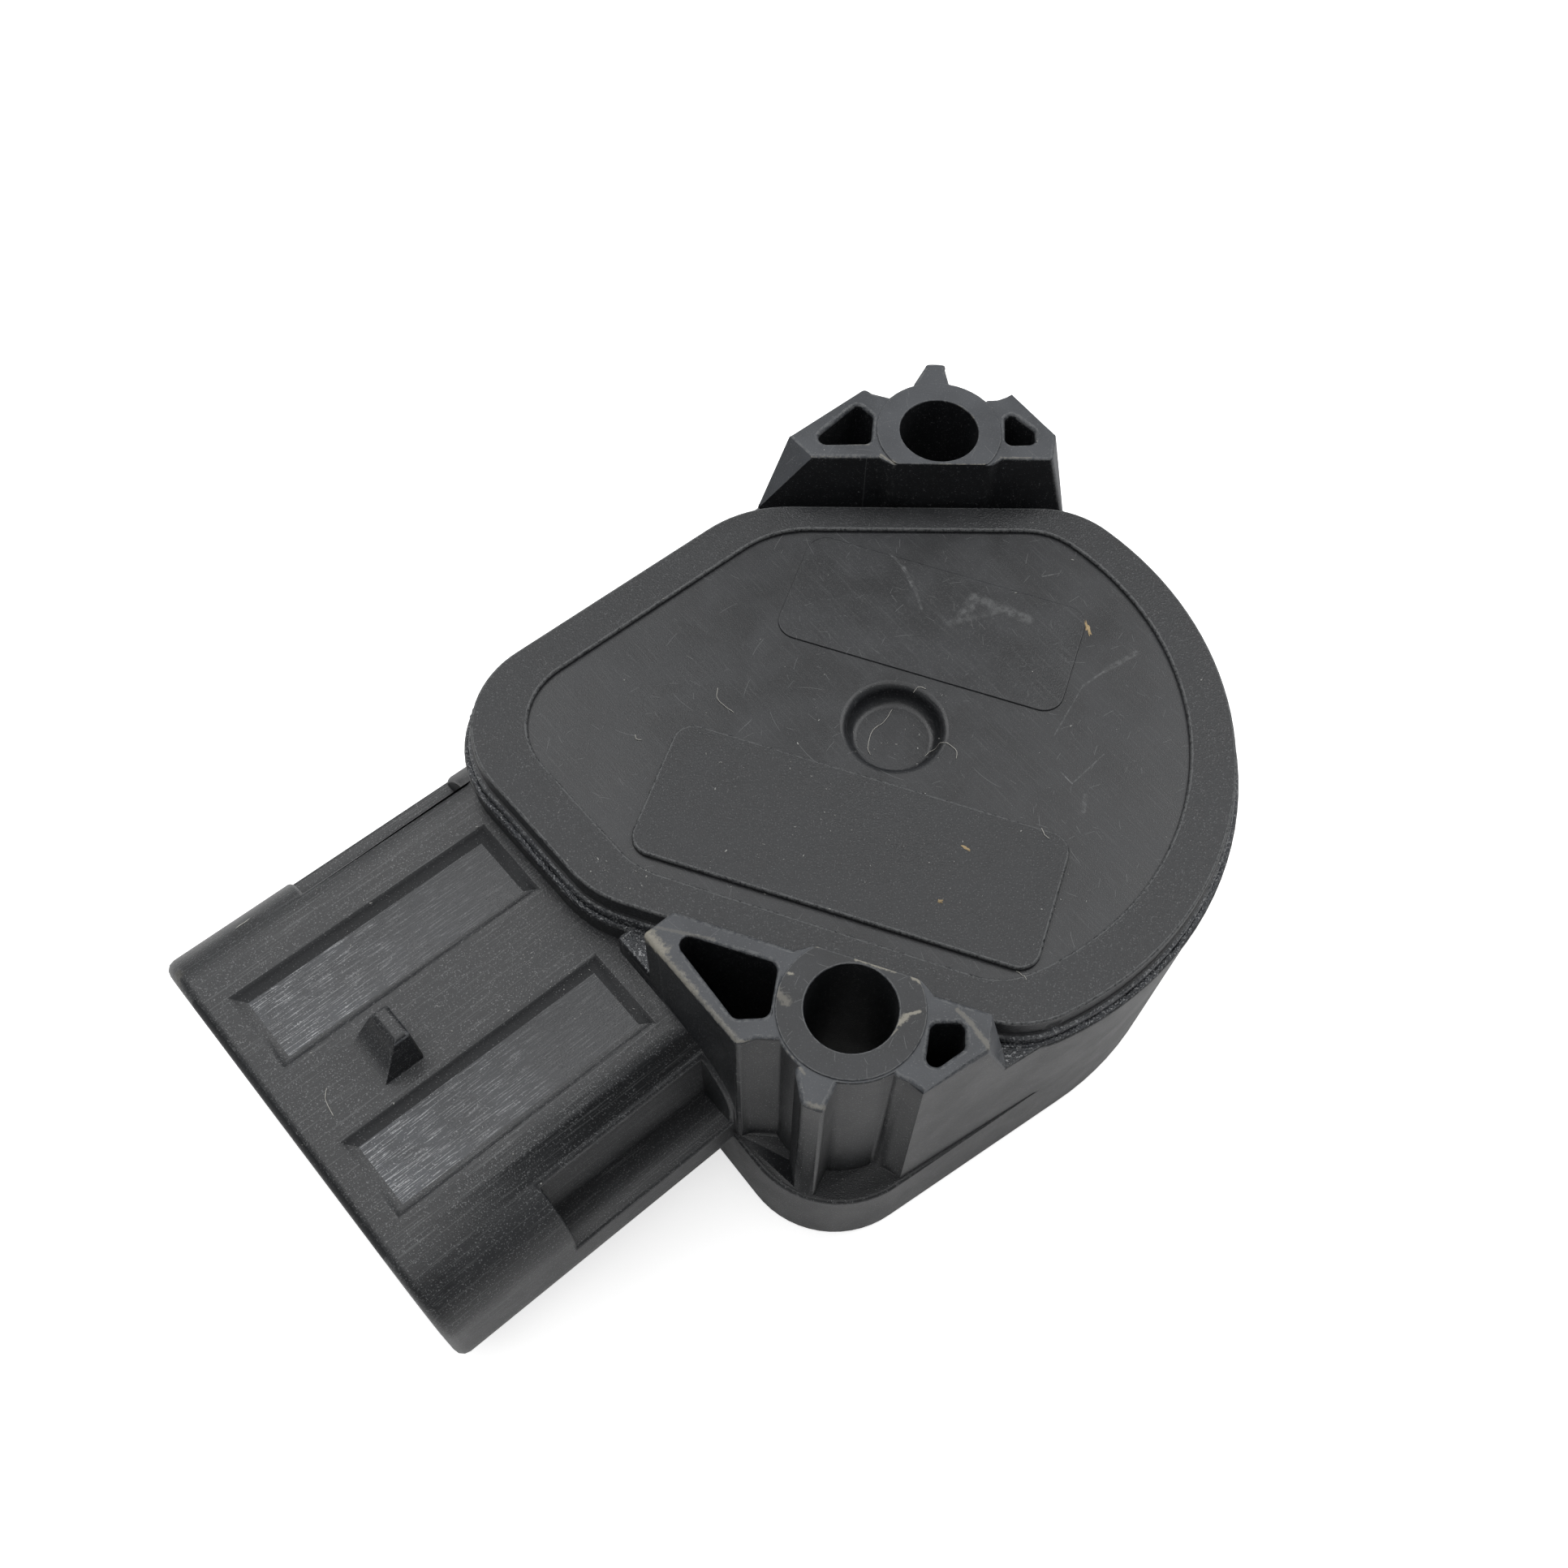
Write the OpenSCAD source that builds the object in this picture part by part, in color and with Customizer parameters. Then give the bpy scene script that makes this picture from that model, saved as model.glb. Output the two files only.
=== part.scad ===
// Throttle position sensor: a moulded housing with two bolt ears and a flat
// six-way socket, a welded lid, and a spring-returned rotor whose wipers sweep
// printed tracks. The rotor axis is the Z axis and the mounting face is z = 0.

/* [Mounting] */
// distance between the two screw holes
hole_spacing = 54; // [46:0.5:64]
// diameter of the screw holes
hole_d = 6.8; // [5:0.1:8]
// radius of the raised ring round each screw hole
ring_r = 5.4; // [4.8:0.1:6.5]
// radius of the ear foot round each screw hole
lobe_r = 7.9; // [7:0.1:9]

/* [Body] */
// height of the lid's top face above the mounting face
lid_top = 25; // [24:0.5:30]
// how far the ears stand above the lid
ear_rise = 4.7; // [3:0.1:7]
// height of the foot under the pockets in the ear sides
foot_h = 9; // [6:0.5:14]
// radius of the round side of the housing wall
body_r = 28.7; // [27.5:0.1:31]
// wall between the inner space and the outside
wall = 2.4; // [2:0.1:3]
// thickness of the floor
floor_t = 3; // [2.6:0.1:4]

/* [Lid] */
// thickness of the lid's plate
lid_t = 2.8; // [2.4:0.1:3.4]
// width of the flat band round the lid's field
band_w = 3.8; // [2.5:0.1:4.5]
// depth of the field inside the band
field_depth = 0.4; // [0.2:0.05:0.6]
// radius of the centre dimple at its mouth
dimple_r = 4.3; // [3.5:0.1:5]
// depth of the centre dimple
dimple_depth = 2.3; // [1.5:0.1:2.6]

/* [Socket] */
// direction of the socket seen from above, from the X axis
socket_angle = 229.5; // [225:0.5:235]
// outer width of the socket
socket_w = 38; // [36:0.2:39]
// outer height of the socket
socket_h = 17; // [16:0.2:18]
// how far the mouth of the socket is from the rotor axis
socket_reach = 55.3; // [51:0.1:60]
// sideways shift of the socket from the rotor axis
socket_shift = -5; // [-6:0.1:-4]
// number of terminals
way_count = 6; // [4:1:6]
// distance between terminals
way_pitch = 4; // [3.6:0.1:4.2]

/* [Rotor] */
// radius of the rotor's journal
journal_r = 6.5; // [6:0.1:7]
// radial play of the journal and of the top pivot
bearing_play = 0.06; // [0.03:0.01:0.1]
// radius of the rotor's disc
disc_r = 16; // [15.5:0.1:16.5]
// radius of the drive socket
drive_r = 4.2; // [3.6:0.1:4.4]
// half distance between the two flats of the drive socket
drive_flat = 3; // [2.5:0.1:3.4]
// turning range between the stops, in degrees
travel = 84; // [60:1:95]
// wire diameter of the return spring
wire_d = 1.2; // [0.9:0.1:1.4]

/* [Hidden] */
$fn = 96;
eps = 0.01;
// how far a straight wall tucks inside the rounds that it meets
tuck = 0.001;

housing_black = [0.13, 0.14, 0.15];
lid_black = [0.16, 0.17, 0.18];
rotor_tan = [0.72, 0.68, 0.58];
rubber_black = [0.06, 0.06, 0.06];
spring_steel = [0.62, 0.63, 0.65];
contact_gold = [0.80, 0.68, 0.38];
board_green = [0.14, 0.34, 0.24];
track_black = [0.10, 0.10, 0.11];
terminal_tin = [0.78, 0.78, 0.76];
sealant_grey = [0.35, 0.36, 0.38];

// levels above the mounting face
ear_top = lid_top + ear_rise;
seam_z = lid_top - lid_t;
flange_t = lid_t * 0.36;
flash_t = 0.6;
flash_w = 0.1;
socket_drop = 5;
socket_top = lid_top - socket_drop;
socket_bottom = socket_top - socket_h;
socket_mid = socket_top - socket_h / 2;

// plan of the body: a round side, two straight sides under the ears, a long
// straight back and a straight front that carries the socket
side_lean = 10;
lid_side = hole_spacing / 2 - 4.3;
back_dist = body_r - 3;
front_dist = body_r + 0.1;
lid_inset = 0.4;
lid_step = 0.42;
field_inset = lid_inset + lid_step + band_w;
field_shift = 0.35;
foot_rim = 0.4;
wall_draft = 0.6;
ear_back = back_dist - 0.5;
right_corner_r = 9;
back_corner_r = 12;
left_corner_r = 9.5;
near_corner_r = 10;
back_angle = socket_angle - 90;

// ears
ear_wall = lid_side + 0.9;
boss_face = lid_side + 0.15;
boss_r = ring_r + 0.2;
ring_rise = 0.15;
far_tab_x = -1.2;
near_tab_x = -1.6;
tab_w = 1.8;
wing_left = 7.75;
wing_right = 5.8;
wing_end = 10;
ear_end_v = 3.5;
back_end_u = -10.2;
pocket_floor = foot_h + 1;

// inner space
board_z = socket_mid + 3.9;
board_t = 1.2;
space_inset = wall;
shelf_inset = wall + 1.6;
skirt_play = 0.12;
skirt_t = 1.4;
skirt_z = board_z + board_t;

// socket
socket_r = 6;
socket_wall = 2.4;
socket_side = 4.4;
socket_floor = socket_reach - 19.3;
panel_w = 7.4;
panel_gap = 7.4;
panel_depth = 0.7;
panel_slope = 0.9;
panel_front = socket_reach - 2.4;
panel_back = front_dist + 0.9;
notch_front = socket_reach - 11.5;
notch_depth = 3.5;
notch_floors = [socket_top - 4.3, socket_mid + 0.5];
lock_back = socket_reach - 10.9;
lock_len = 3.6;
lock_w = 4.4;
lock_top_w = 3;
lock_h = 3.7;

// rotor and bearings
tube_r = journal_r + 2.5;
tube_top = floor_t + 5;
pilot_r = 15;
pilot_depth = 1.2;
disc_z = tube_top + 2.4;
disc_t = 2;
disc_top = disc_z + disc_t;
column_r = 5.8;
column_top = skirt_z + 1;
washer_h = 0.8;
pivot_r = 2.6;
pivot_top = column_top + 2.8;
pivot_boss_r = 5.6;
lug_r = disc_r - 1.6;
lug_w = 3;
lug_h = 3;
lug_span = 10;
stop_span = 9;
stop_play = 0.2;
lug_angle = 20;
coil_r = tube_r + 1.7;
coil_turns = 3;
coil_pitch = wire_d + 0.35;
coil_z = floor_t + wire_d / 2 + 0.3;
anchor_angle = 200;
anchor_reach = coil_r + 3.4;
leg_angle = anchor_angle + 60;
wire_sides = 8;
turn_steps = 30;
seal_z = floor_t;
seal_h = 1.7;
seal_w = 1.1;

// tracks and wipers
track_t = 0.12;
track_w = 1.2;
track_radii = [14, 12.2, 10.4, 8.6];
wiper_angle = 34;
track_spare = 8;
finger_w = 0.8;
finger_len = 4.2;
leaf_t = 0.25;
leaf_len = 2.3;
tip_r = 0.35;
stake_r = 0.7;

// terminals
blade_w = 1.5;
blade_t = 0.8;
blade_tip = socket_reach - 5.5;
pin_w = 0.64;
pin_u = front_dist - 7;
pin_gap = lid_side - space_inset - 2.6;
pin_top = skirt_z + 0.9;
trough_w = (way_count - 1) * way_pitch + 5;
trough_h = 4;
trough_t = 1.2;
board_hole_r = column_r + 0.8;
side_angle = 270 - side_lean;

function turn(a) = [cos(a), sin(a)];

// centre of a corner of radius r between two walls, given by the directions
// and distances of their outward normals
function corner(a, da, b, db, r) =
    [((da - r) * sin(b) - (db - r) * sin(a)) / sin(b - a),
     ((db - r) * cos(a) - (da - r) * cos(b)) / sin(b - a), r];

// centre of a corner of radius r between a wall and the round side
function round_corner(a, da, arc, r, way) =
    let (s = way * sqrt(pow(arc - r + tuck, 2) - pow(da - r, 2)))
    [(da - r) * cos(a) - s * sin(a), (da - r) * sin(a) + s * cos(a), r];

// the two ends of the straight wall on the right of circles p and q
function touch(p, q) =
    let (dx = q[0] - p[0], dy = q[1] - p[1], far = norm([dx, dy]))
    let (a = atan2(dy, dx) - acos(max(-1, min(1, (p[2] - q[2]) / far))))
    [[p[0] + (p[2] - tuck) * cos(a), p[1] + (p[2] - tuck) * sin(a)],
     [q[0] + (q[2] - tuck) * cos(a), q[1] + (q[2] - tuck) * sin(a)]];

// a convex outline made of circles joined by their common tangents
module blob(circles) {
    count = len(circles);
    polygon([for (i = [0 : count - 1])
             for (p = touch(circles[i], circles[(i + 1) % count])) p]);
    for (c = circles)
        translate([c[0], c[1]]) circle(r = c[2]);
}

// plan of the body grown outward by g, with its straight sides grown by s more
// and its corners rounder by r
module plan(g, s = 0, r = 0) {
    arc = body_r + g;
    side = lid_side + lid_inset + g + s;
    back = back_dist + g;
    front = front_dist + g;
    far_angle = 90 + side_lean;
    near_angle = 270 - side_lean;
    rc = max(right_corner_r + g + r, 2);
    bc = max(back_corner_r + g + r, 2);
    lc = max(left_corner_r + g + r, 2);
    nc = max(near_corner_r + g + r, 2);
    c1 = round_corner(far_angle, side, arc, rc, -1);
    c2 = corner(far_angle, side, back_angle, back, bc);
    c3 = corner(back_angle, back, socket_angle, front, lc);
    c4 = corner(socket_angle, front, near_angle, side, nc);
    c5 = round_corner(near_angle, side, arc, rc, 1);
    reach = atan2(c1[1], c1[0]);
    blob([c1, c2, c3, c4, c5]);
    intersection() {
        circle(r = arc);
        polygon([[0, 0], 2 * arc * turn(-reach), 2 * arc * turn(-reach / 2),
                 2 * arc * turn(reach / 2), 2 * arc * turn(reach)]);
    }
}

// frame of the socket: x runs out along it, y across it
module socket_frame() {
    rotate(socket_angle) children();
}

// everything within a distance of the long straight back
module back_side(dist) {
    socket_frame() translate([-100, -dist]) square([200, 200]);
}

// one ear's foot: the screw hole's lobe and its tangents to the round side
module lobe(rim = 0) {
    big = [0, 0, body_r - wall_draft];
    small = [0, hole_spacing / 2, lobe_r + rim];
    left = touch(small, big);
    right = touch(big, small);
    polygon([[0, 0], right[0], right[1], left[0], left[1]]);
    translate([0, hole_spacing / 2]) circle(r = lobe_r + rim);
}

// both feet, cut off along the body's back
module feet(rim) {
    intersection() {
        union() {
            lobe(rim);
            mirror([0, 1]) lobe(rim);
        }
        back_side(back_dist + 0.1);
    }
}

// the side pockets between the wings and the tab of one ear
module ear_sides(tab_x) {
    y = hole_spacing / 2;
    difference() {
        union() {
            polygon([[-wing_left, y + 4.1], [-wing_left + 1.5, y + 3.3], [-4.4, y + 3.1],
                     [-3, y + 1.8], [tab_x, y + 2], [tab_x, y + 12], [-wing_left, y + 12]]);
            polygon([[wing_right, y + 5.4], [wing_right - 1.2, y + 4.7], [3.8, y + 4.5],
                     [2.5, y + 3], [tab_x, y + 2], [tab_x, y + 12], [wing_right, y + 12]]);
        }
        translate([0, y]) circle(r = boss_r);
        translate([tab_x - tab_w / 2, y]) square([tab_w, lobe_r + 2]);
        blob([[tab_x - tab_w / 2 - 0.2, y + boss_r - 0.5, 0.5],
              [tab_x + tab_w / 2 + 0.2, y + boss_r - 0.5, 0.5],
              [tab_x + tab_w / 2 - 0.5, y + boss_r + 1.6, 0.5],
              [tab_x - tab_w / 2 + 0.5, y + boss_r + 1.6, 0.5]]);
    }
}

// height in plan, at x, of a leaning wall at a distance from the axis
function wall_y(x, dist) = (dist + x * sin(side_lean)) / cos(side_lean);

// plan of one ear above the lid seam: what lies outside its inner wall
module ear_plan() {
    difference() {
        lobe();
        rotate(side_lean) translate([-60, -60]) square([120, 60 + ear_wall]);
    }
    intersection() {
        lobe();
        polygon([[-4.6, wall_y(-4.6, ear_wall)], [-3.5, wall_y(-3.5, boss_face)],
                 [4.7, wall_y(4.7, boss_face)], [5.6, wall_y(5.6, ear_wall)],
                 [5.6, ear_wall + 4], [-4.6, ear_wall + 4]]);
    }
}

// the closed pockets in the top of the far ear
module far_pockets() {
    y = hole_spacing / 2;
    blob([[-9.4, y - 2.4, 0.7], [-6.3, y - 1.8, 0.65], [-6.5, y + 0.4, 0.7],
          [-7.2, y + 0.95, 0.65]]);
    blob([[6.35, y + 0.45, 0.65], [7.65, y + 0.75, 0.65], [7.6, y + 1.4, 0.6],
          [6.1, y + 2.45, 0.6]]);
}

// the closed pockets in the top of the near ear
module near_pockets() {
    y = -hole_spacing / 2;
    blob([[-7.8, y - 1.2, 0.75], [-6.35, y - 0.9, 0.75], [-6.35, y + 1.95, 0.75],
          [-12.2, y + 3, 0.65]]);
    blob([[6.35, y - 2.65, 0.65], [7.7, y - 1.4, 0.6], [7.6, y - 0.45, 0.6],
          [6.35, y - 0.75, 0.65]]);
}

// the two ears above the seam, with their sloped ends
module ears() {
    rise = ear_top - seam_z;
    far_run = 0.53 * rise;
    end_run = 0.27 * rise;
    intersection() {
        translate([0, 0, seam_z - eps]) linear_extrude(rise + eps) {
            intersection() {
                ear_plan();
                back_side(ear_back);
            }
            mirror([0, 1]) ear_plan();
        }
        translate([0, 60, 0]) rotate([90, 0, 0]) linear_extrude(120)
            polygon([[-40, 0], [wing_end + end_run + 5, 0], [wing_end + end_run, seam_z],
                     [wing_end, ear_top], [-40, ear_top]]);
        union() {
            translate([-60, -60, 0]) cube([120, 60, 60]);
            socket_frame() translate([0, 50, 0]) rotate([90, 0, 0]) linear_extrude(100)
                polygon([[-60, 0], [back_end_u + far_run, 0], [back_end_u + far_run, seam_z],
                         [back_end_u, ear_top], [-60, ear_top]]);
        }
        union() {
            translate([-60, 0, 0]) cube([120, 60, 60]);
            socket_frame() translate([-60, ear_end_v, 0]) cube([120, 100, 60]);
        }
    }
}

// rounded section of the socket, seen along it, shrunk by the wall
module socket_section(side, top) {
    r = max(socket_r - side / 2 - top / 2, 1.2);
    w = socket_w / 2 - side - r;
    h = socket_h / 2 - top - r;
    blob([[-w, -h, r], [w, -h, r], [w, h, r], [-w, h, r]]);
}

// a length of something with a socket section, along the socket's axis
module along_socket(from, to) {
    socket_frame() translate([from, socket_shift, socket_mid])
        rotate([90, 0, 90]) linear_extrude(to - from) children();
}

// one recess panel in the top of the socket, with sloped walls
module panel(side) {
    mid = socket_shift + side * (panel_gap + panel_w) / 2;
    z = socket_top - panel_depth;
    intersection() {
        translate([0, mid + 20, 0]) rotate([90, 0, 0]) linear_extrude(40)
            polygon([[panel_back + panel_slope, z], [panel_front - panel_slope, z],
                     [panel_front + panel_slope, z + 2 * panel_depth],
                     [panel_back - panel_slope, z + 2 * panel_depth]]);
        translate([0, mid, 0]) rotate([90, 0, 90]) linear_extrude(80)
            polygon([[-panel_w / 2 + panel_slope, z], [panel_w / 2 - panel_slope, z],
                     [panel_w / 2 + panel_slope, z + 2 * panel_depth],
                     [-panel_w / 2 - panel_slope, z + 2 * panel_depth]]);
    }
}

// the lock wedge that holds the mating plug
module lock_wedge() {
    lean = (lock_w - lock_top_w) / 2;
    intersection() {
        translate([0, socket_shift + 10, 0]) rotate([90, 0, 0]) linear_extrude(20)
            polygon([[lock_back, socket_top - 1], [lock_back + lock_len, socket_top - 1],
                     [lock_back + lock_len, socket_top - 0.1],
                     [lock_back + 1.4, socket_top + lock_h],
                     [lock_back + 0.1, socket_top + lock_h]]);
        translate([0, socket_shift, 0]) rotate([90, 0, 90]) linear_extrude(80)
            polygon([[-lock_w / 2, socket_top - 1], [lock_w / 2, socket_top - 1],
                     [lock_w / 2, socket_top - 0.1],
                     [lock_w / 2 - lean, socket_top + lock_h],
                     [lean - lock_w / 2, socket_top + lock_h],
                     [-lock_w / 2, socket_top - 0.1]]);
    }
}

// a sector of a ring
module ring_sector(inner, outer, start, sweep, h) {
    rotate([0, 0, start]) rotate_extrude(angle = sweep)
        translate([inner, 0]) square([outer - inner, h]);
}

function way_v(i) = socket_shift + (i - (way_count - 1) / 2) * way_pitch;
function way_end(i) = min(pin_u,
    (pin_gap - way_v(i) * cos(socket_angle + 90 - side_angle)) / cos(socket_angle - side_angle));

// the opening for one terminal through the wall
module terminal_slot(i) {
    translate([way_end(i) - 3, way_v(i) - blade_w / 2, socket_mid - blade_t / 2])
        cube([60, blade_w, blade_t]);
}

// the round wall leans in a little towards the floor
module housing() {
    color(housing_black)
    difference() {
        union() {
            intersection() {
                linear_extrude(seam_z) plan(0);
                union() {
                    cylinder(r1 = body_r - wall_draft, r2 = body_r + 0.05, h = seam_z + 0.2);
                    translate([-80, -60, -1]) cube([80, 120, 60]);
                }
            }
            linear_extrude(seam_z) feet(0);
            linear_extrude(foot_h) feet(foot_rim);
            translate([0, 0, seam_z - flash_t]) linear_extrude(flash_t) plan(flash_w);
            ears();
            for (side = [0, 1])
                mirror([0, side, 0]) translate([0, 0, ear_top - eps])
                    linear_extrude(ring_rise + eps) intersection() {
                        ear_plan();
                        translate([0, hole_spacing / 2]) circle(r = ring_r);
                    }
            difference() {
                along_socket(front_dist - wall, socket_reach) socket_section(0, 0);
                socket_frame()
                    for (side = [-1, 1])
                        translate([front_dist, socket_shift + side * socket_w / 2,
                                   notch_floors[side > 0 ? 1 : 0]])
                            translate([0, side > 0 ? -notch_depth : -5, 0])
                            cube([notch_front - front_dist, 5 + notch_depth, 20]);
            }
            socket_frame() lock_wedge();
        }
        // inner space, shelf for the board, pilot recess and screw holes
        translate([0, 0, floor_t]) linear_extrude(40) plan(-shelf_inset);
        translate([0, 0, board_z]) linear_extrude(40) plan(-space_inset);
        translate([0, 0, -1]) cylinder(r = pilot_r, h = pilot_depth + 1);
        for (side = [-1, 1])
            translate([0, side * hole_spacing / 2, -1])
                cylinder(d = hole_d, h = ear_top + 5);
        // pockets in the ears
        translate([0, 0, foot_h]) linear_extrude(40) {
            ear_sides(far_tab_x);
            mirror([0, 1]) ear_sides(near_tab_x);
        }
        translate([0, 0, pocket_floor]) linear_extrude(40) {
            far_pockets();
            near_pockets();
        }
        // socket
        along_socket(socket_floor, socket_reach + 1) socket_section(socket_side, socket_wall);
        socket_frame() {
            for (side = [-1, 1]) panel(side);
            for (i = [0 : way_count - 1]) terminal_slot(i);
            trough();
        }
        translate([0, 0, -1]) cylinder(r = journal_r + bearing_play, h = tube_top + 1);
    }
    // bearing tube, stops and the anchor of the spring
    color(housing_black)
    difference() {
        union() {
            rotate(anchor_angle) translate([anchor_reach - 1.6, -1.6, floor_t - eps])
                cube([2.2, 3.2, wire_d + 1.4]);
            translate([0, 0, pilot_depth]) cylinder(r = tube_r, h = tube_top - pilot_depth);
            for (a = [lug_angle - lug_span / 2 - stop_span - stop_play,
                      lug_angle + lug_span / 2 + travel + stop_play])
                translate([0, 0, floor_t - eps])
                    ring_sector(lug_r - 0.8, lug_r + lug_w + 0.8, a, stop_span,
                                disc_z - floor_t - 0.6);
        }
        translate([0, 0, -1]) cylinder(r = journal_r + bearing_play, h = tube_top + 2);
        rotate(anchor_angle) translate([coil_r, -wire_d / 2 - 0.05, floor_t + 0.25])
            cube([10, wire_d + 0.1, 10]);
    }
}

// the shallow trough in the socket's floor that holds the sealant
module trough() {
    translate([socket_floor - trough_t, socket_shift - trough_w / 2, socket_mid - trough_h / 2])
        cube([trough_t + eps, trough_w, trough_h]);
}

// rounded rectangle from its corners, with a corner radius
module pad(x0, x1, y0, y1, r) {
    blob([[x0 + r, y0 + r, r], [x1 - r, y0 + r, r], [x1 - r, y1 - r, r], [x0 + r, y1 - r, r]]);
}

module lid() {
    lid_frame = -9.5;
    color(lid_black)
    difference() {
        union() {
            translate([0, 0, seam_z]) linear_extrude(flange_t) plan(-lid_inset);
            translate([0, 0, seam_z]) linear_extrude(lid_t) plan(-lid_inset - lid_step);
            translate([0, 0, skirt_z]) linear_extrude(seam_z - skirt_z + eps)
                plan(-space_inset - skirt_play);
        }
        translate([0, 0, skirt_z - 1]) linear_extrude(seam_z - skirt_z + 1)
            plan(-space_inset - skirt_play - skirt_t);
        translate([0, field_shift, lid_top - field_depth]) linear_extrude(5)
            plan(-field_inset, 0.9, 1.5);
        dimple();
    }
    // raised pads on the field
    color(lid_black)
    difference() {
        rotate(lid_frame) {
            translate([0, 0, lid_top - field_depth - eps]) linear_extrude(field_depth + 0.1)
                pad(-16.4, 16.4, -17.7, -5.4, 1.8);
            translate([0, 0, lid_top - field_depth - eps]) linear_extrude(0.15)
                pad(-12.3, 12.4, 5.4, 16.4, 1.8);
        }
        dimple();
    }
    // boss that carries the rotor's top pivot
    color(lid_black)
    difference() {
        translate([0, 0, column_top + washer_h]) cylinder(r = pivot_boss_r, h = lid_top - field_depth - column_top - washer_h - eps);
        translate([0, 0, column_top - 1])
            cylinder(r = pivot_r + bearing_play, h = pivot_top - column_top + 1.3);
        dimple();
    }
}

// the blind dimple in the lid's centre, with a chamfered mouth
module dimple() {
    top = lid_top - field_depth;
    deep = lid_top - dimple_depth;
    rotate_extrude()
        polygon([[0, deep], [dimple_r * 0.68, deep], [dimple_r * 0.8, deep + 0.25],
                 [dimple_r * 0.88, deep + 0.8], [dimple_r * 0.9, top - 0.35],
                 [dimple_r, top], [dimple_r, top + 5], [0, top + 5]]);
}

module rotor() {
    bottom = pilot_depth + 0.3;
    color(rotor_tan)
    difference() {
        union() {
            translate([0, 0, bottom]) cylinder(r = journal_r, h = disc_z - bottom);
            translate([0, 0, tube_top]) cylinder(r = tube_r, h = disc_z - tube_top);
            translate([0, 0, disc_z]) cylinder(r = disc_r, h = disc_t);
            translate([0, 0, disc_z]) cylinder(r = column_r, h = column_top - disc_z);
            translate([0, 0, disc_z]) cylinder(r = pivot_r, h = pivot_top - disc_z);
            translate([0, 0, disc_z - lug_h])
                ring_sector(lug_r, lug_r + lug_w - 1.6, lug_angle - lug_span / 2, lug_span,
                            lug_h + eps);
            for (i = [0, 2]) rotate(wiper_angle)
                translate([leaf_mid(i), finger_len + leaf_len / 2, disc_top - eps])
                cylinder(r = stake_r, h = leaf_t + 0.4);
        }
        // drive socket with two flats
        translate([0, 0, -1]) intersection() {
            cylinder(r = drive_r, h = tube_top + 1);
            translate([-20, -drive_flat, 0]) cube([40, 2 * drive_flat, 20]);
        }
        translate([0, 0, bottom - eps]) cylinder(r1 = drive_r + 0.8, r2 = drive_r, h = 0.8);
        // groove for the seal ring
        translate([0, 0, seal_z])
            rotate_extrude() translate([journal_r - seal_w - 0.05, 0])
                square([seal_w + 1, seal_h + 0.2]);
        // slot for the upper leg of the spring
        rotate(leg_angle) translate([coil_r, 0, disc_z - 1])
            cylinder(r = wire_d * 0.6, h = disc_t + 2);
    }
}

// middle radius of the pair of tracks that starts with track i
function leaf_mid(i) = (track_radii[i] + track_radii[i + 1]) / 2;

module rotor_seal() {
    outer = journal_r + bearing_play - 0.02;
    r = seal_w / 2;
    color(rubber_black)
    translate([0, 0, seal_z + 0.1]) rotate_extrude() translate([outer - r, 0]) {
        translate([0, r]) circle(r = r);
        translate([0, seal_h - r]) circle(r = r);
        translate([-r, r]) square([2 * r, seal_h - 2 * r]);
    }
}

module spring_washer() {
    t = 0.35;
    h = washer_h - 0.02;
    color(spring_steel)
    translate([0, 0, column_top + 0.01]) rotate_extrude()
        polygon([[pivot_r + 0.3, h - t], [column_r - 0.6, 0], [column_r - 0.6, t],
                 [pivot_r + 0.3, h]]);
}

// stations of the spring's wire: centre, outward and upward half axes
function side_dir(a) = [cos(a), sin(a), 0];
function along_dir(a) = [-sin(a), cos(a), 0];
function coil_steps() = ceil(turn_steps * (coil_turns + (leg_angle - anchor_angle) / 360));
function coil_angle(i) = anchor_angle
    + i / coil_steps() * (360 * coil_turns + leg_angle - anchor_angle);
function coil_point(i) = coil_r * side_dir(coil_angle(i))
    + [0, 0, coil_z + coil_pitch * (coil_angle(i) - anchor_angle) / 360];
function wire_stations() = concat(
    [[anchor_reach * side_dir(anchor_angle) + [0, 0, coil_z], along_dir(anchor_angle), [0, 0, 1]],
     [coil_point(0), side_dir(anchor_angle) + along_dir(anchor_angle), [0, 0, 1]]],
    [for (i = [1 : coil_steps() - 1]) [coil_point(i), side_dir(coil_angle(i)), [0, 0, 1]]],
    [[coil_point(coil_steps()), side_dir(leg_angle), [0, 0, 1] - along_dir(leg_angle)],
     [[coil_point(coil_steps())[0], coil_point(coil_steps())[1], disc_z + disc_t * 0.8],
      side_dir(leg_angle), -along_dir(leg_angle)]]);

// a wire along its stations, closed at both ends
module wire(stations, r) {
    n = wire_sides;
    count = len(stations);
    polyhedron(
        points = [for (s = stations) for (k = [0 : n - 1])
                  s[0] + r * cos(360 * k / n) * s[1] + r * sin(360 * k / n) * s[2]],
        faces = concat(
            [[for (k = [0 : n - 1]) k]],
            [for (i = [0 : count - 2]) for (k = [0 : n - 1])
             [i * n + k, (i + 1) * n + k, (i + 1) * n + (k + 1) % n]],
            [for (i = [0 : count - 2]) for (k = [0 : n - 1])
             [i * n + k, (i + 1) * n + (k + 1) % n, i * n + (k + 1) % n]],
            [[for (k = [n - 1 : -1 : 0]) (count - 1) * n + k]]));
}

module return_spring() {
    color(spring_steel) wire(wire_stations(), wire_d / 2);
}

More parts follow.
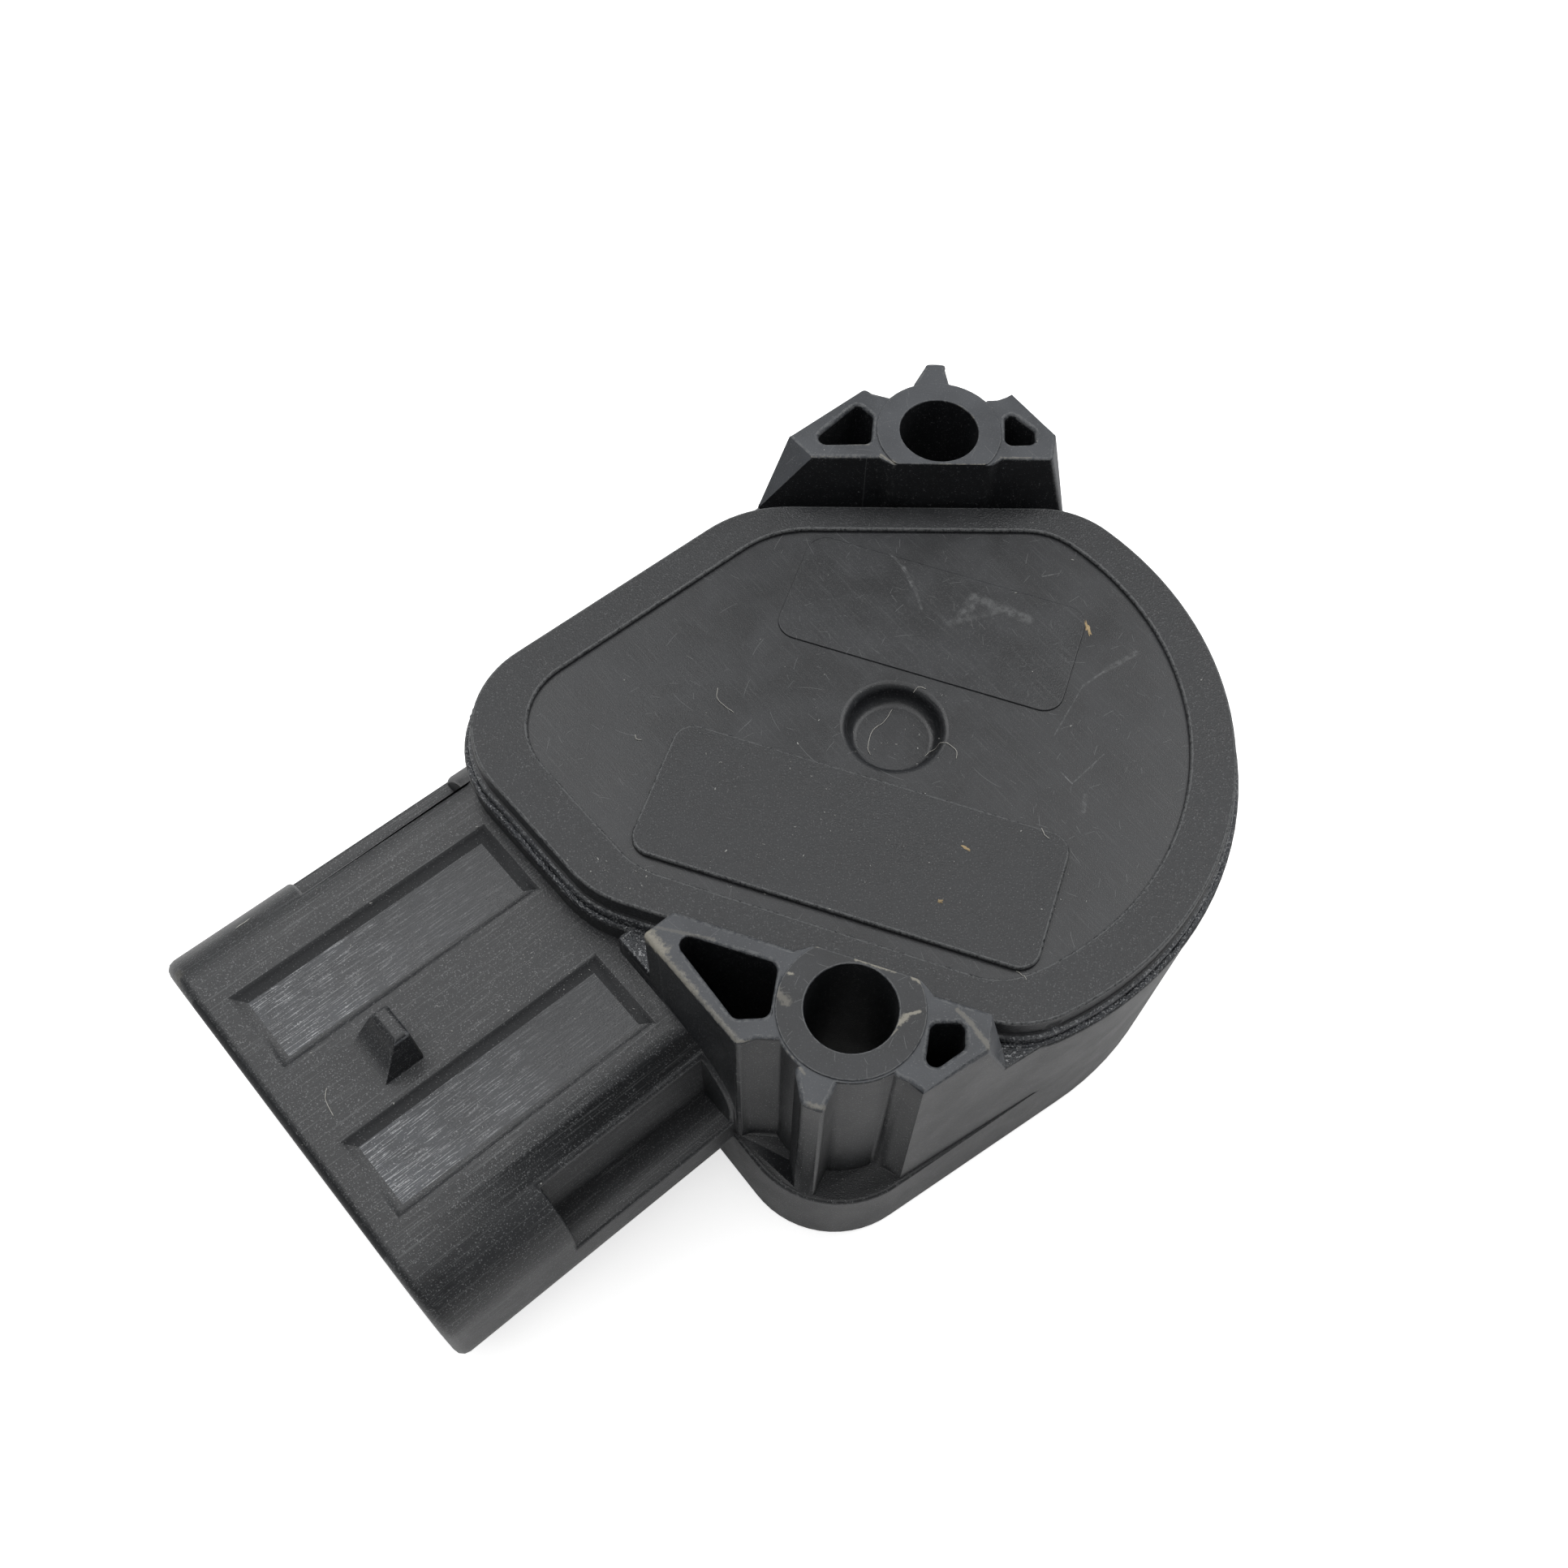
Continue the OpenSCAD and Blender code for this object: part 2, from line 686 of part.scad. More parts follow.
// one wiper: a leaf staked to the rotor's disc, with two sprung fingers
module wiper(i) {
    z = disc_top;
    contact = board_z - track_t - 0.02 - tip_r;
    color(contact_gold)
    rotate(wiper_angle) {
        difference() {
            translate([track_radii[i + 1] - finger_w / 2, finger_len, z])
                cube([track_radii[i] - track_radii[i + 1] + finger_w, leaf_len, leaf_t]);
            translate([leaf_mid(i), finger_len + leaf_len / 2, z - 1])
                cylinder(r = stake_r + 0.03, h = 3);
        }
        for (r = [track_radii[i], track_radii[i + 1]])
            translate([r - finger_w / 2, 0, 0]) {
                rotate([90, 0, 90]) linear_extrude(finger_w)
                    polygon([[finger_len + eps, z], [finger_len + eps, z + leaf_t],
                             [finger_len - 0.6, z + leaf_t], [0, contact + leaf_t * 0.6],
                             [0, contact - leaf_t * 0.6], [finger_len - 0.5, z]]);
                translate([0, 0, contact]) rotate([0, 90, 0]) cylinder(r = tip_r, h = finger_w);
            }
    }
}

module element_board() {
    color(board_green)
    translate([0, 0, board_z]) difference() {
        linear_extrude(board_t) plan(-space_inset - 0.15);
        translate([0, 0, -1]) cylinder(r = board_hole_r, h = board_t + 2);
        socket_frame() for (i = [0 : way_count - 1])
            translate([way_end(i), way_v(i), -1]) cylinder(r = 0.55, h = board_t + 2);
    }
}

module track(i) {
    color(track_black)
    translate([0, 0, board_z - track_t])
        ring_sector(track_radii[i] - track_w / 2, track_radii[i] + track_w / 2,
                    wiper_angle - track_spare, travel + 2 * track_spare, track_t);
}

// one terminal: a blade in the socket, bent up to a pin through the board
module terminal(i) {
    end = way_end(i);
    color(terminal_tin)
    socket_frame() translate([0, way_v(i), 0]) {
        translate([0, 0, socket_mid - blade_t / 2]) linear_extrude(blade_t)
            polygon([[end - blade_t / 2, -blade_w / 2], [blade_tip - 1, -blade_w / 2],
                     [blade_tip, -blade_w / 5], [blade_tip, blade_w / 5],
                     [blade_tip - 1, blade_w / 2], [end - blade_t / 2, blade_w / 2]]);
        translate([end - blade_t / 2, -blade_w / 2, socket_mid])
            cube([blade_t, blade_w, board_z - 0.6 - socket_mid]);
        translate([end - pin_w / 2, -pin_w / 2, socket_mid])
            cube([pin_w, pin_w, pin_top - socket_mid]);
    }
}

// one soldered joint on top of the board
module solder(i) {
    color(terminal_tin)
    socket_frame() translate([way_end(i), way_v(i), skirt_z]) difference() {
        cylinder(r1 = 1, r2 = 0.5, h = 0.7);
        translate([-pin_w / 2, -pin_w / 2, -1]) cube([pin_w, pin_w, 3]);
    }
}

module terminal_sealant() {
    color(sealant_grey)
    socket_frame() difference() {
        trough();
        for (i = [0 : way_count - 1]) terminal_slot(i);
    }
}

housing();
lid();
rotor();
rotor_seal();
spring_washer();
return_spring();
wiper(0);  // wiper_outer
wiper(2);  // wiper_inner
element_board();
track(0);  // track_signal_outer
track(1);  // track_collector_outer
track(2);  // track_signal_inner
track(3);  // track_collector_inner
terminal(0);  // terminal_1
terminal(1);  // terminal_2
terminal(2);  // terminal_3
terminal(3);  // terminal_4
terminal(4);  // terminal_5
terminal(5);  // terminal_6
solder(0);  // solder_1
solder(1);  // solder_2
solder(2);  // solder_3
solder(3);  // solder_4
solder(4);  // solder_5
solder(5);  // solder_6
terminal_sealant();
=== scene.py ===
import heapq
import math
from dataclasses import dataclass

import bmesh
import bpy
from bpy.props import FloatProperty, FloatVectorProperty, IntProperty, PointerProperty
from mathutils import Matrix, Vector, noise
from mathutils.bvhtree import BVHTree


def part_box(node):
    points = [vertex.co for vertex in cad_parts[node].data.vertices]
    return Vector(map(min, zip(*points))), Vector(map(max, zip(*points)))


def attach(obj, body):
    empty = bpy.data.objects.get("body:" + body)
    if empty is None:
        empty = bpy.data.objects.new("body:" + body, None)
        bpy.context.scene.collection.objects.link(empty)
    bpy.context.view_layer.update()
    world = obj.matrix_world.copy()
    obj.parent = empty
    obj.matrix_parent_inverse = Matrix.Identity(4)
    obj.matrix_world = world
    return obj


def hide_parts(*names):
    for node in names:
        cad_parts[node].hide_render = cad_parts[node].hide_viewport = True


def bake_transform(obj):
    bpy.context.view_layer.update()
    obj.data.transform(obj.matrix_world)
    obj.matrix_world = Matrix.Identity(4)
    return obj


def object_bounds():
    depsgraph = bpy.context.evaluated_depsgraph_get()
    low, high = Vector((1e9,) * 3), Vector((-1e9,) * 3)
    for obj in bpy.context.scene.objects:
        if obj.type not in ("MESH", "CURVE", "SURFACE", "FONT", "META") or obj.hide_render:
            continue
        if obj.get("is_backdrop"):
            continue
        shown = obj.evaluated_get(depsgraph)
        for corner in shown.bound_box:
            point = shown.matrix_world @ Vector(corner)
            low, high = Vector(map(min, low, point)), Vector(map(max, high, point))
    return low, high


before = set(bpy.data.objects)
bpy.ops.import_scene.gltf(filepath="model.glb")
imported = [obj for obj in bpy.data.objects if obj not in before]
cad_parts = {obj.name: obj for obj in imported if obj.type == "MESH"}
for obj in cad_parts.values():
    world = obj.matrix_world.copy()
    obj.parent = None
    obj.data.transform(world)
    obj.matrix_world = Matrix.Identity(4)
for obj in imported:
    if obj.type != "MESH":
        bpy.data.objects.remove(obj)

bl_info = {
    "name": "Throttle position sensor",
    "version": (1, 0, 0),
    "blender": (4, 5, 0),
    "location": "View3D > Sidebar > Sensor",
    "description": "Dresses the sensor's solids with moulded plastic, metal and wear",
    "category": "Object",
}

MM = 0.001
CAD_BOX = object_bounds()
UP = Vector((0, 0, 1))
FACES_UP = 0.9
SHARP = math.radians(30)
SHADING_BREAK = math.radians(40)

# the socket, with its distances along and across its own direction
SOCKET_TURN = math.radians(229.5)
SOCKET_ALONG = Vector((math.cos(SOCKET_TURN), math.sin(SOCKET_TURN), 0))
SOCKET_ACROSS = Vector((-math.sin(SOCKET_TURN), math.cos(SOCKET_TURN), 0))
SOCKET_SHIFT = -5.0 * MM
SOCKET_ROOT = 29.2 * MM
SOCKET_HALF = 19.2 * MM
SOCKET_FOOT = 2.5 * MM
MOUTH_HALF = 16 * MM
MOUTH_LOW = 5 * MM
MOUTH_HIGH = 18 * MM
PANEL_HALF = 12.5 * MM
PANEL_FLOOR = 19.1 * MM
PANEL_RIM = 19.97 * MM

# the lid: its label pad and its field lie below their limits
LID_TOP = 25.0 * MM
SEAM = LID_TOP - 2.8 * MM
FLANGE = 1.01 * MM
PAD_LIMIT = LID_TOP - 0.2 * MM
FIELD_LIMIT = LID_TOP - 0.38 * MM
FIELD_RADIUS = 23.5 * MM
BOSS_RADIUS = 12 * MM

# the housing's closed space: above its floor and inside its walls
SPACE_FLOOR = 1.4 * MM
SPACE_MARGIN = 1.3 * MM
RING_EDGE = 0.12 * MM

# how edges are rounded: how far the room beside them is followed and where along an edge it is
# measured, how much of it a radius takes, and how a rounding that folds over is made again
MOST_FACES = 40
PARALLEL = 1e-12
LEAST_STEP = 1e-8
STRAIGHT_ON = -0.7
EDGE_POINTS = (0.02, 0.15, 0.3, 0.5, 0.7, 0.85, 0.98)
ROOM_TO_OUTER = 0.42
ROOM_TO_INNER = 0.7
RADIUS_GROWTH = 0.15
LEAST_RADIUS = 2e-5
WELD_GAP = 2e-6
FLAT_TURN = math.radians(0.3)
FOLD_AREA = 2e-8
FOLD_SHARE = 0.02
ROUNDING_TRIES = 5
RETRY_SHARE = 0.6

# the return spring
SPRING_RADIUS = 10.7 * MM
SPRING_WIRE = 0.6 * MM
SPRING_BEND = 0.7 * MM
SPRING_LEG = 3.4 * MM
SPRING_PITCH = 1.55 * MM
SPRING_FOOT = 3.9 * MM
SPRING_TOP = 12.0 * MM
SPRING_START = 200
SPRING_END = SPRING_START + 3 * 360 + 60


def length(label, help_text, value):
    """A small size in metres that the sidebar shows in the scene's unit."""
    return FloatProperty(
        name=label, description=help_text, default=value, min=0, max=0.01, precision=5,
        subtype="DISTANCE", unit="LENGTH",
    )


def colour(label, help_text, value):
    """A colour that the sidebar shows with a picker."""
    return FloatVectorProperty(
        name=label, description=help_text, default=value, size=3, min=0, max=1, subtype="COLOR"
    )


def position(label, help_text, value):
    """A place in metres."""
    return FloatVectorProperty(
        name=label, description=help_text, size=3, default=value,
        subtype="TRANSLATION", unit="LENGTH",
    )


def watts(label, help_text, value):
    """A lamp's power in watts."""
    return FloatProperty(
        name=label, description=help_text, default=value, min=0, max=20, unit="POWER"
    )


def share(label, help_text, value):
    """An amount from none to all."""
    return FloatProperty(
        name=label, description=help_text, default=value, min=0, max=1, subtype="FACTOR"
    )


def angle(label, help_text, degrees):
    """An angle that the sidebar shows in degrees."""
    return FloatProperty(
        name=label, description=help_text, default=math.radians(degrees),
        subtype="ANGLE", unit="ROTATION",
    )


class SensorShape(bpy.types.PropertyGroup):
    """Sizes of the mouldings' soft edges and of what lies on them."""

    housing_edge: length("Housing edge", "Largest radius on the housing's outer edges", 0.00035)
    mouth_edge: length("Mouth edge", "Radius round the socket's mouth", 0.0009)
    lid_edge: length("Lid edge", "Largest radius on the lid's outer edges", 0.00022)
    bead_width: length("Bead width", "Half width of the weld bead round the lid", 0.00026)
    bead_height: length("Bead height", "Half height of the weld bead round the lid", 0.00013)
    fibre_width: length("Fibre width", "Thickness of the lint fibres", 0.00005)
    speck_size: length("Speck size", "Largest radius of a dust speck", 0.000068)
    speck_count: IntProperty(
        name="Specks", description="How many dust specks lie on the part",
        default=700, min=0, max=3000,
    )


class SensorFinish(bpy.types.PropertyGroup):
    """Colours of the materials and the amount of wear on them."""

    housing: colour("Housing", "Glass-filled plastic of the housing", (0.0112, 0.0122, 0.0140))
    lid: colour("Lid", "Glass-filled plastic of the lid", (0.0120, 0.0130, 0.0150))
    scuff: colour("Scuff", "Plastic that is rubbed pale", (0.155, 0.160, 0.162))
    # this colour also paints the glints on the drawn streaks of the socket's panels
    fibre: colour("Glass fibre", "Bright ends of the plastic's glass fibres", (0.50, 0.51, 0.52))
    chalk: colour("Chalk", "Dried dirt on rubbed corners", (0.27, 0.255, 0.215))
    dust: colour("Dust", "Dust in the corners", (0.081, 0.085, 0.088))
    chip: colour("Chip", "Crust stuck beside the label pad", (0.36, 0.27, 0.15))
    rotor: colour("Rotor", "Unfilled plastic of the rotor", (0.46, 0.41, 0.30))
    rubber: colour("Seal", "Rubber of the seal ring", (0.012, 0.012, 0.012))
    steel: colour("Spring steel", "Steel of the springs", (0.50, 0.50, 0.51))
    alloy: colour("Wiper alloy", "Alloy of the wipers", (0.78, 0.62, 0.32))
    board: colour("Board", "Laminate of the element board", (0.035, 0.12, 0.07))
    ink: colour("Track ink", "Carbon ink of the tracks", (0.02, 0.02, 0.022))
    tin: colour("Terminal tin", "Tin on the terminals", (0.66, 0.65, 0.62))
    sealant: colour("Sealant", "Cured sealant round the terminals", (0.06, 0.062, 0.066))
    wear: share("Wear", "Rubbed plastic along the edges", 0.5)
    dusting: share("Dusting", "Dust on surfaces that face up", 0.12)
    scratching: share("Scratching", "Fine scratches on the lid", 0.5)


class SensorStage(bpy.types.PropertyGroup):
    """Floor, light and camera."""

    floor: colour("Floor", "Colour of the floor", (0.88, 0.88, 0.88))
    floor_glow: share("Floor glow", "Brightness the camera sees in the floor by its shadow", 0.64)
    floor_gloss: share("Floor gloss", "Brightness that reflections show beside the shadow", 0.08)
    sky: FloatProperty(
        name="Sky", description="Strength of the even light", default=0.25, min=0, max=2
    )
    overhead: watts("Overhead lamp", "Power of the broad lamp overhead", 1.5)
    left: watts("Left lamp", "Power of the lamp at the back on the left", 1.3)
    right: watts("Right lamp", "Power of the lamp at the back on the right", 1.5)
    azimuth: angle("Camera azimuth", "Direction of the camera round the part", 1.742)
    elevation: angle("Camera elevation", "Height of the camera above the horizon", 62.353)
    roll: angle("Camera roll", "Turn of the camera about its own axis", 6.986)
    eye: position("Camera place", "Where the camera stands", (0.000514, -0.070698, 0.13628))
    lens: FloatProperty(
        name="Lens", description="Focal length in millimetres", default=37.32, min=10, max=200
    )


def plug(tree, socket, value):
    """Fills a socket with a value, or links another socket to it."""
    if isinstance(value, bpy.types.NodeSocket):
        tree.links.new(value, socket)
    else:
        socket.default_value = value


def put(tree, kind, sockets=None, **settings):
    """Adds a node, sets it up, and fills its sockets with values or with other sockets."""
    made = tree.nodes.new(kind)
    for key, value in settings.items():
        setattr(made, key, value)
    for key, value in (sockets or {}).items():
        plug(tree, made.inputs[key], value)
    return made


def maths(tree, operation, first, second=0.0, clamp=False):
    """The result of one sum."""
    sockets = {0: first, 1: second}
    return put(tree, "ShaderNodeMath", sockets, operation=operation, use_clamp=clamp).outputs[0]


def times(tree, first, second):
    """One value times another."""
    return maths(tree, "MULTIPLY", first, second)


def plus(tree, first, second):
    """One value added to another."""
    return maths(tree, "ADD", first, second)


def divided(tree, first, second):
    """One value divided by another."""
    return maths(tree, "DIVIDE", first, second)


def strongest(tree, masks):
    """The largest of several masks."""
    result = masks[0]
    for mask in masks[1:]:
        result = maths(tree, "MAXIMUM", result, mask)
    return result


def vector_maths(tree, operation, first, second):
    """The vector that one vector sum gives."""
    sockets = {0: first, 1: second}
    return put(tree, "ShaderNodeVectorMath", sockets, operation=operation).outputs["Vector"]


def vector_value(tree, operation, first, second):
    """The value that one vector sum gives."""
    sockets = {0: first, 1: second}
    return put(tree, "ShaderNodeVectorMath", sockets, operation=operation).outputs["Value"]


def scaled(tree, vector, factor):
    """A vector times a value."""
    sockets = {0: vector, "Scale": factor}
    return put(tree, "ShaderNodeVectorMath", sockets, operation="SCALE").outputs["Vector"]


def turned(tree, vector, turn):
    """A vector turned round the vertical."""
    sockets = {"Vector": vector, "Angle": turn}
    return put(tree, "ShaderNodeVectorRotate", sockets, rotation_type="Z_AXIS").outputs[0]


def joined(tree, x, y, z=0.0):
    """The vector of three values."""
    return put(tree, "ShaderNodeCombineXYZ", {0: x, 1: y, 2: z}).outputs[0]


def ramp(tree, value, low, high, start=0.0, end=1.0):
    """A smooth step from start to end as value goes from low to high."""
    sockets = {"Value": value, "From Min": low, "From Max": high, "To Min": start, "To Max": end}
    made = put(tree, "ShaderNodeMapRange", sockets, interpolation_type="SMOOTHSTEP")
    return made.outputs["Result"]


def blend(tree, factor, first, second):
    """The colour between two colours."""
    made = put(tree, "ShaderNodeMix", {"Factor": factor}, data_type="RGBA")
    for socket, value in ((made.inputs[6], first), (made.inputs[7], second)):
        linked = isinstance(value, bpy.types.NodeSocket)
        plug(tree, socket, value if linked else (*value[:3], 1.0))
    return made.outputs[2]


def blend_value(tree, factor, first, second):
    """The value between two values."""
    return put(tree, "ShaderNodeMix", {"Factor": factor, 2: first, 3: second}).outputs[0]


def noise_value(tree, spot, detail, roughness, distortion=0.0, scale=1.0):
    """The value of a noise at a spot."""
    sockets = {"Vector": spot, "Scale": scale, "Detail": detail, "Roughness": roughness}
    return put(tree, "ShaderNodeTexNoise", {**sockets, "Distortion": distortion}).outputs["Fac"]


def spot_in_mm(tree):
    """The spot on the object in millimetres."""
    return scaled(tree, tree.nodes.new("ShaderNodeTexCoord").outputs["Object"], 1 / MM)


def line_gap(tree, spot, start):
    """How far a spot is from the line between a group's Start and End."""
    way = vector_maths(tree, "SUBTRACT", start["End"], start["Start"])
    away = vector_maths(tree, "SUBTRACT", spot, start["Start"])
    reached = vector_value(tree, "DOT_PRODUCT", away, way)
    whole = vector_value(tree, "DOT_PRODUCT", way, way)
    nearest = scaled(tree, way, maths(tree, "DIVIDE", reached, whole, clamp=True))
    return vector_value(tree, "DISTANCE", away, nearest)


def shader_group(name, inputs, outputs):
    """An empty node group: its tree, the sockets it starts from and those it ends in."""
    tree = bpy.data.node_groups.new(name, "ShaderNodeTree")
    for label, value in inputs.items():
        kind = "NodeSocketVector" if isinstance(value, tuple) else "NodeSocketFloat"
        socket = tree.interface.new_socket(name=label, in_out="INPUT", socket_type=kind)
        socket.default_value = value
    for label in outputs:
        tree.interface.new_socket(name=label, in_out="OUTPUT", socket_type="NodeSocketFloat")
    return tree, tree.nodes.new("NodeGroupInput").outputs, tree.nodes.new("NodeGroupOutput").inputs


def grain_group():
    """Fine moulded grain, slow mottling, and pale specks of glass fibre in the grain."""
    inputs = {"Grain Size": 0.12, "Mottle Size": 5.0, "Fleck Level": 0.66}
    tree, start, end = shader_group("Moulded grain", inputs, ("Grain", "Mottle", "Flecks"))
    spot = spot_in_mm(tree)
    fine = scaled(tree, spot, divided(tree, 1.0, start["Grain Size"]))
    slow = scaled(tree, spot, divided(tree, 1.0, start["Mottle Size"]))
    grain = noise_value(tree, fine, 1.0, 0.6)
    mottle = noise_value(tree, slow, 3.0, 0.6, 0.4)
    level = start["Fleck Level"]
    plug(tree, end["Grain"], ramp(tree, grain, 0.25, 0.75))
    plug(tree, end["Mottle"], ramp(tree, mottle, 0.3, 0.7))
    plug(tree, end["Flecks"], ramp(tree, grain, level, plus(tree, level, 0.06)))
    return tree


def crumble_group():
    """A broken-up texture that frays rubbed edges, marks and dirt."""
    tree, start, end = shader_group("Crumble", {"Size": 0.6}, ("Value",))
    near = scaled(tree, spot_in_mm(tree), divided(tree, 1.0, start["Size"]))
    plug(tree, end["Value"], noise_value(tree, near, 5.0, 0.78))
    return tree


def rubbed_group():
    """Rubbed plastic on the moulding's rounded edges, broken up by the crumble."""
    tree, start, end = shader_group("Rubbed edges", {"Crumble": 0.5, "Cover": 0.5}, ("Mask",))
    edge = put(tree, "ShaderNodeAttribute", attribute_name="rounded_edge").outputs["Fac"]
    level = maths(tree, "SUBTRACT", 0.75, times(tree, start["Cover"], 0.5))
    broken = ramp(tree, start["Crumble"], level, plus(tree, level, 0.12))
    plug(tree, end["Mask"], times(tree, edge, broken))
    return tree


def streak_group():
    """Drawn lines that run one way, as a cutter leaves them in a mould."""
    inputs = {"Turn": 0.0, "Pitch": 0.12, "Length": 5.0}
    tree, start, end = shader_group("Streaks", inputs, ("Height",))
    lined_up = turned(tree, spot_in_mm(tree), times(tree, start["Turn"], -1.0))
    sizes = joined(tree, start["Length"], start["Pitch"], start["Pitch"])
    drawn = vector_maths(tree, "DIVIDE", lined_up, sizes)
    plug(tree, end["Height"], noise_value(tree, drawn, 2.0, 0.6))
    return tree


def scratch_group():
    """Short hair scratches, one here and there, each with its own direction and a slight bow."""
    inputs = {"Spacing": 3.0, "Length": 1.6, "Width": 0.03, "Cover": 0.5}
    tree, start, end = shader_group("Hair scratches", inputs, ("Mask",))
    spacing = start["Spacing"]
    spot = scaled(tree, spot_in_mm(tree), divided(tree, 1.0, spacing))
    cells = put(
        tree, "ShaderNodeTexVoronoi", {"Vector": spot, "Scale": 1.0}, voronoi_dimensions="2D"
    ).outputs
    dice = put(tree, "ShaderNodeSeparateColor", {0: cells["Color"]}).outputs
    away = vector_maths(
        tree,
        "MULTIPLY",
        vector_maths(tree, "SUBTRACT", spot, cells["Position"]),
        joined(tree, spacing, spacing),
    )
    own_way = turned(tree, away, times(tree, dice[0], 3.14))
    parts = put(tree, "ShaderNodeSeparateXYZ", {0: own_way}).outputs
    bow = times(tree, times(tree, parts[0], parts[0]), 0.08)
    aside = maths(tree, "ABSOLUTE", maths(tree, "SUBTRACT", parts[1], bow))
    thin = ramp(tree, divided(tree, aside, start["Width"]), 1.0, 0.3)
    reach = times(tree, start["Length"], plus(tree, dice[1], 0.3))
    short = ramp(tree, divided(tree, maths(tree, "ABSOLUTE", parts[0]), reach), 0.5, 0.35)
    chosen = maths(tree, "LESS_THAN", dice[2], start["Cover"])
    plug(tree, end["Mask"], times(tree, times(tree, thin, short), chosen))
    return tree


LINE = {"Start": (0.0, 0.0, 0.0), "End": (1.0, 0.0, 0.0)}


def mark_group():
    """One scratch or rub from a start to an end on a level surface."""
    inputs = {**LINE, "Width": 0.2, "Crumble": 0.5, "Breakup": 0.5}
    tree, start, end = shader_group("Rub mark", inputs, ("Mask",))
    gap = line_gap(tree, vector_maths(tree, "MULTIPLY", spot_in_mm(tree), (1, 1, 0)), start)
    body = ramp(tree, divided(tree, gap, start["Width"]), 1.0, 0.3)
    frayed = ramp(tree, start["Crumble"], 0.42, 0.62)
    plug(tree, end["Mask"], times(tree, body, blend_value(tree, start["Breakup"], 1.0, frayed)))
    return tree


def patch_group():
    """A rubbed or dirty patch along a short line in space."""
    inputs = {**LINE, "Radius": 1.0, "Crumble": 0.5}
    tree, start, end = shader_group("Worn patch", inputs, ("Mask",))
    gap = line_gap(tree, spot_in_mm(tree), start)
    ragged = times(tree, maths(tree, "SUBTRACT", start["Crumble"], 0.5), 2.6)
    ring = maths(tree, "SUBTRACT", divided(tree, gap, start["Radius"]), ragged)
    plug(tree, end["Mask"], ramp(tree, ring, 0.95, 0.30))
    return tree


def dust_group():
    """Dust that settles on surfaces that face up, thicker where the mottling lets it."""
    tree, start, end = shader_group("Settled dust", {"Mottle": 0.5, "Grain": 0.5}, ("Mask",))
    normal = tree.nodes.new("ShaderNodeNewGeometry").outputs["Normal"]
    level = ramp(tree, put(tree, "ShaderNodeSeparateXYZ", {0: normal}).outputs[2], 0.3, 0.95)
    film = plus(tree, 0.35, times(tree, start["Mottle"], 0.65))
    grainy = plus(tree, 0.5, times(tree, start["Grain"], 0.5))
    plug(tree, end["Mask"], times(tree, times(tree, level, film), grainy))
    return tree


GROUPS = {
    "grain": grain_group,
    "crumble": crumble_group,
    "rubbed": rubbed_group,
    "streaks": streak_group,
    "scratches": scratch_group,
    "mark": mark_group,
    "patch": patch_group,
    "dust": dust_group,
}
made_groups = {}


def effect(tree, kind, sockets=None):
    """Places one of the shared effects in a material, and gives its outputs."""
    if kind not in made_groups:
        made_groups[kind] = GROUPS[kind]()
    return put(tree, "ShaderNodeGroup", sockets, node_tree=made_groups[kind]).outputs


def new_material(name):
    """An empty material, its tree and its shader."""
    material = bpy.data.materials.new(name)
    material.use_nodes = True
    tree = material.node_tree
    return material, tree, tree.nodes["Principled BSDF"]


def coat(tree, shader, shade, rough, height, strength, distance):
    """Gives a shader its colour, its roughness and the bump of a height."""
    sockets = {"Height": height, "Strength": strength, "Distance": distance}
    plug(tree, shader.inputs["Base Color"], shade)
    plug(tree, shader.inputs["Roughness"], rough)
    plug(tree, shader.inputs["Normal"], put(tree, "ShaderNodeBump", sockets).outputs["Normal"])


def tone(value, factor):
    """A colour made lighter or darker."""
    return tuple(min(1.0, part * factor) for part in value)


# in millimetres: lines that are worn pale, each with a start, an end, a radius and an amount
EAR_WEAR = (
    ((-15.5, -23.5, 29.65), (-14.1, -24.8, 29.7), 0.85, 1.0),
    ((-16.2, -22.8, 28.4), (-15.9, -23.7, 29.5), 0.45, 0.7),
    ((-14.4, -24.7, 29.7), (-11.3, -27.5, 29.7), 0.6, 0.7),
    ((-11.3, -27.5, 29.7), (-7.7, -30.6, 29.7), 0.4, 0.5),
    ((-15.2, -23.0, 29.7), (-10.5, -23.3, 29.7), 0.2, 0.25),
    ((-7.7, -30.7, 29.65), (-5.7, -30.5, 29.65), 0.18, 0.6),
    ((-4.8, -30.2, 29.7), (-2.5, -32.3, 29.7), 0.16, 0.5),
    ((-1.8, -34.4, 29.6), (-0.2, -34.6, 29.6), 0.3, 0.5),
    ((7.5, -25.9, 29.7), (8.5, -26.7, 29.7), 0.25, 0.4),
    ((8.5, -26.7, 29.7), (10.1, -28.5, 29.7), 0.3, 0.45),
    ((7.3, -31.2, 29.65), (9.9, -28.8, 29.65), 0.14, 0.6),
    ((-10.4, 22.2, 29.7), (-4.6, 23.2, 29.7), 0.14, 0.6),
    ((-4.6, 23.5, 29.75), (-3.2, 22.7, 29.75), 0.16, 0.7),
    ((-3.2, 22.5, 29.8), (0.0, 23.1, 29.8), 0.17, 0.7),
    ((0.0, 23.1, 29.8), (4.9, 24.0, 29.8), 0.2, 0.9),
    ((4.9, 24.0, 29.8), (5.6, 25.2, 29.8), 0.16, 0.7),
    ((5.6, 25.1, 29.7), (8.1, 25.6, 29.7), 0.13, 0.4),
    ((-9.2, 24.0, 29.7), (-5.8, 24.4, 29.7), 0.13, 0.4),
    ((1.3, 30.1, 29.8), (2.8, 29.0, 29.8), 0.13, 0.5),
)
